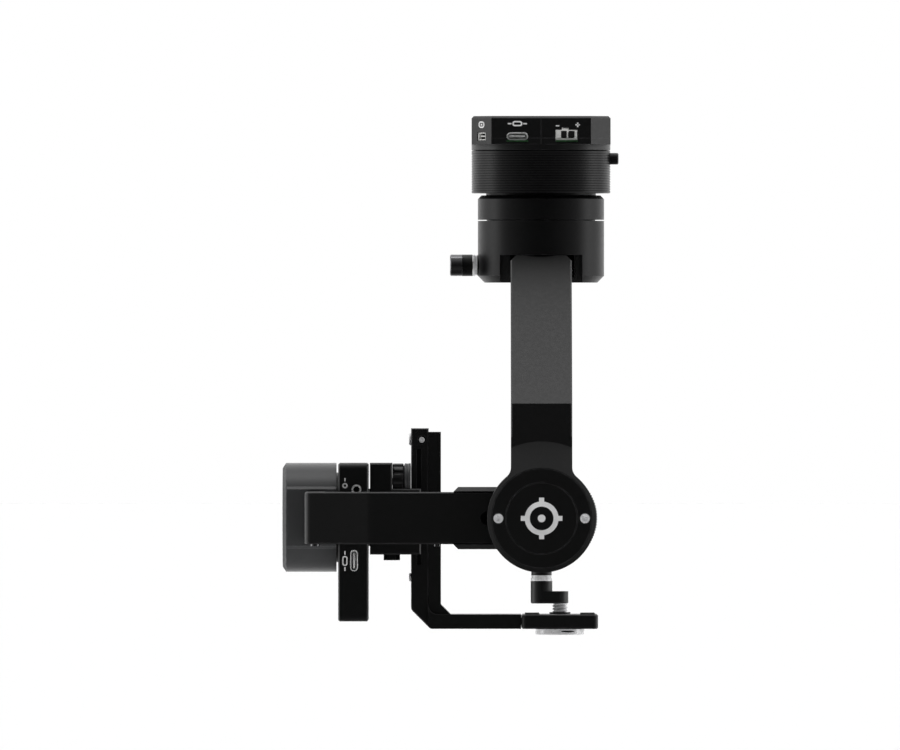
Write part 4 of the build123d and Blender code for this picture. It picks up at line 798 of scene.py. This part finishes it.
marks = bmesh.new()
up_sign = near_marks(marks, HEAD_FACE_Y, HEAD_MARKS)
facet_frame = way((-FACET, -FACET, 0), FACET_AXIS)
mark(marks, facet_frame, 0, up_sign * -3.6, 3.4, 2.8, 0.6)
mark(marks, facet_frame, 0, up_sign * -3.6, 1.0, 0.8)
piece("head_marks", marks, M["inlay"], "base")

case_marks = bmesh.new()
near_marks(case_marks, CASE_FACE_Y, CASE_MARKS)
piece("case_marks", case_marks, M["inlay"], "tilt_frame")

power_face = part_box("power_connector")[0].y / MM
# Flat black patches on the power connector's face: painted shade for its two socket openings, and a
# thin line of painted shade near its top
mouth_shades = bmesh.new()
for x, z, width, height in (
    (9.45, -7.6, 2.35, 2.8), (12.7, -7.6, 2.4, 2.8), (10.2, -5.0, 2.6, 0.35),
):
    block(mouth_shades, way((x, power_face, z), NEAR), (width, height, 0.05), 0.1)
piece("power_connector_mouth_shades", mouth_shades, M["plastic"], "base")

side_low, side_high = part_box("side_connector")
side_z = (side_low.z + side_high.z) / 2 / MM
side_frame = way((-FACET + 0.2, -FACET + 0.2, side_z), FACET_AXIS)
side_body = bmesh.new()
for x, y, width, height in (
    (0, 1.4, 4.8, 0.5), (0, -1.4, 4.8, 0.5), (-2.1, 0, 0.6, 3.3), (2.1, 0, 0.6, 3.3),
    (0.3, 0.1, 2.2, 0.55),
):
    block(side_body, side_frame @ Matrix.Translation((x, y, -1.5)), (width, height, 2.8), 0.1)
side_back = bmesh.new()
block(side_back, side_frame @ Matrix.Translation((0, 0, -2.4)), (4.6, 3.1, 0.8), 0.1)
side_rim = piece("side_connector_frame", side_body, M["nylon"], "base")
side_floor = piece("side_connector_back", side_back, M["plastic"], "base")
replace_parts(side_rim, "side_connector")
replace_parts(side_floor, "side_connector")

# The coin slot of the camera screw, seen on the rim as a flat dark ellipse: a black piece of
# painted shade set proud of the rim where the slot's opening lies in shadow
SLOT_SHADE_HALF = (2.9, 0.36, 0.12)
slot_shade_frame = way((SCREW_X + 3.2, -9.62, -214.5), (0.33, -0.94, 0))
slot_shade_frame = slot_shade_frame @ Matrix.Diagonal((*SLOT_SHADE_HALF, 1))
slot_shade_bm = bmesh.new()
lathe(slot_shade_bm, slot_shade_frame, [(0.2, -1), (1.0, -1), (1.0, 0.6), (0.8, 1.0), (0.2, 1.0)], 48)
piece("camera_screw_slot_shade", slot_shade_bm, M["plastic"], "camera_screw")

# --------------------------------------------------------------------------------------------
# Studio
# --------------------------------------------------------------------------------------------
scene.view_settings.view_transform = "Standard"
scene.view_settings.look = "None"

# Light by direction: STOPS go from behind the camera to behind the object, and the strength
# falls from SKY_LIGHT to LOW_LIGHT towards the ground
SKY_LIGHT = 2.95
LOW_LIGHT = 0.25
STOPS = (
    (0.0, 0.012), (0.1, 0.045), (0.25, 0.125), (0.43, 0.14), (0.5, 1.0), (0.57, 0.9),
    (0.68, 0.3), (0.85, 0.36), (1.0, 0.48),
)
world = bpy.data.worlds.new("studio")
world.use_nodes = True
scene.world = world
tree = world.node_tree
tree.nodes.clear()


def world_node(kind, **values):
    """A world node, with values for its sockets by name, where _ stands for a space."""
    node = tree.nodes.new("ShaderNode" + kind)
    for socket, value in values.items():
        node.inputs[socket.replace("_", " ")].default_value = value
    return node


output = world_node("OutputWorld")
shade = world_node("Background")
white = world_node("Background", Strength=1.0, Color=(1, 1, 1, 1))
mix = world_node("MixShader")
path = world_node("LightPath")
direction = world_node("TexCoord")
split = world_node("SeparateXYZ")
ramp = world_node("ValToRGB")
spread = world_node("MapRange", From_Min=-1, From_Max=1)
fall = world_node("MapRange", From_Min=-1.0, From_Max=-0.35, To_Min=LOW_LIGHT, To_Max=SKY_LIGHT)
elements = ramp.color_ramp.elements
while len(elements) < len(STOPS):
    elements.new(0.5)
for element, (position, value) in zip(elements, STOPS):
    element.position = position
    element.color = (value, value, value, 1)
for source, target in (
    (direction.outputs["Generated"], split.inputs["Vector"]),
    (split.outputs["Y"], spread.inputs["Value"]),
    (spread.outputs["Result"], ramp.inputs["Fac"]),
    (ramp.outputs["Color"], shade.inputs["Color"]),
    (split.outputs["Z"], fall.inputs["Value"]),
    (fall.outputs["Result"], shade.inputs["Strength"]),
    (path.outputs["Is Camera Ray"], mix.inputs["Fac"]),
    (shade.outputs["Background"], mix.inputs[1]),
    (white.outputs["Background"], mix.inputs[2]),
    (mix.outputs["Shader"], output.inputs["Surface"]),
):
    tree.links.new(source, target)

FLOOR_Z = -0.29
FLOOR_HALF = 30.0
floor_mesh = bpy.data.meshes.new("floor")
corners = ((-1, -1), (1, -1), (1, 1), (-1, 1))
floor_mesh.from_pydata(
    [(x * FLOOR_HALF, y * FLOOR_HALF, FLOOR_Z) for x, y in corners], [], [(0, 1, 2, 3)],
)
floor = bpy.data.objects.new("floor", floor_mesh)
scene.collection.objects.link(floor)
floor_shader = Shader("floor_white", (0.95, 0.95, 0.95), 0.9, specular=0.0)
floor_mesh.materials.append(floor_shader.material)
floor.visible_glossy = False

VIEW_X, VIEW_Z = -0.0379, -0.1077
VIEW_WIDTH = 0.375
LENS = 1200.0
SENSOR = 36.0
camera_data = bpy.data.cameras.new("camera")
camera_data.lens = LENS
camera_data.sensor_width = SENSOR
camera = bpy.data.objects.new("camera", camera_data)
scene.collection.objects.link(camera)
camera.location = (VIEW_X, -VIEW_WIDTH * LENS / SENSOR, VIEW_Z)
camera.rotation_euler = (math.pi / 2, 0, 0)
camera_data.clip_start = 0.1
camera_data.clip_end = 100
scene.camera = camera
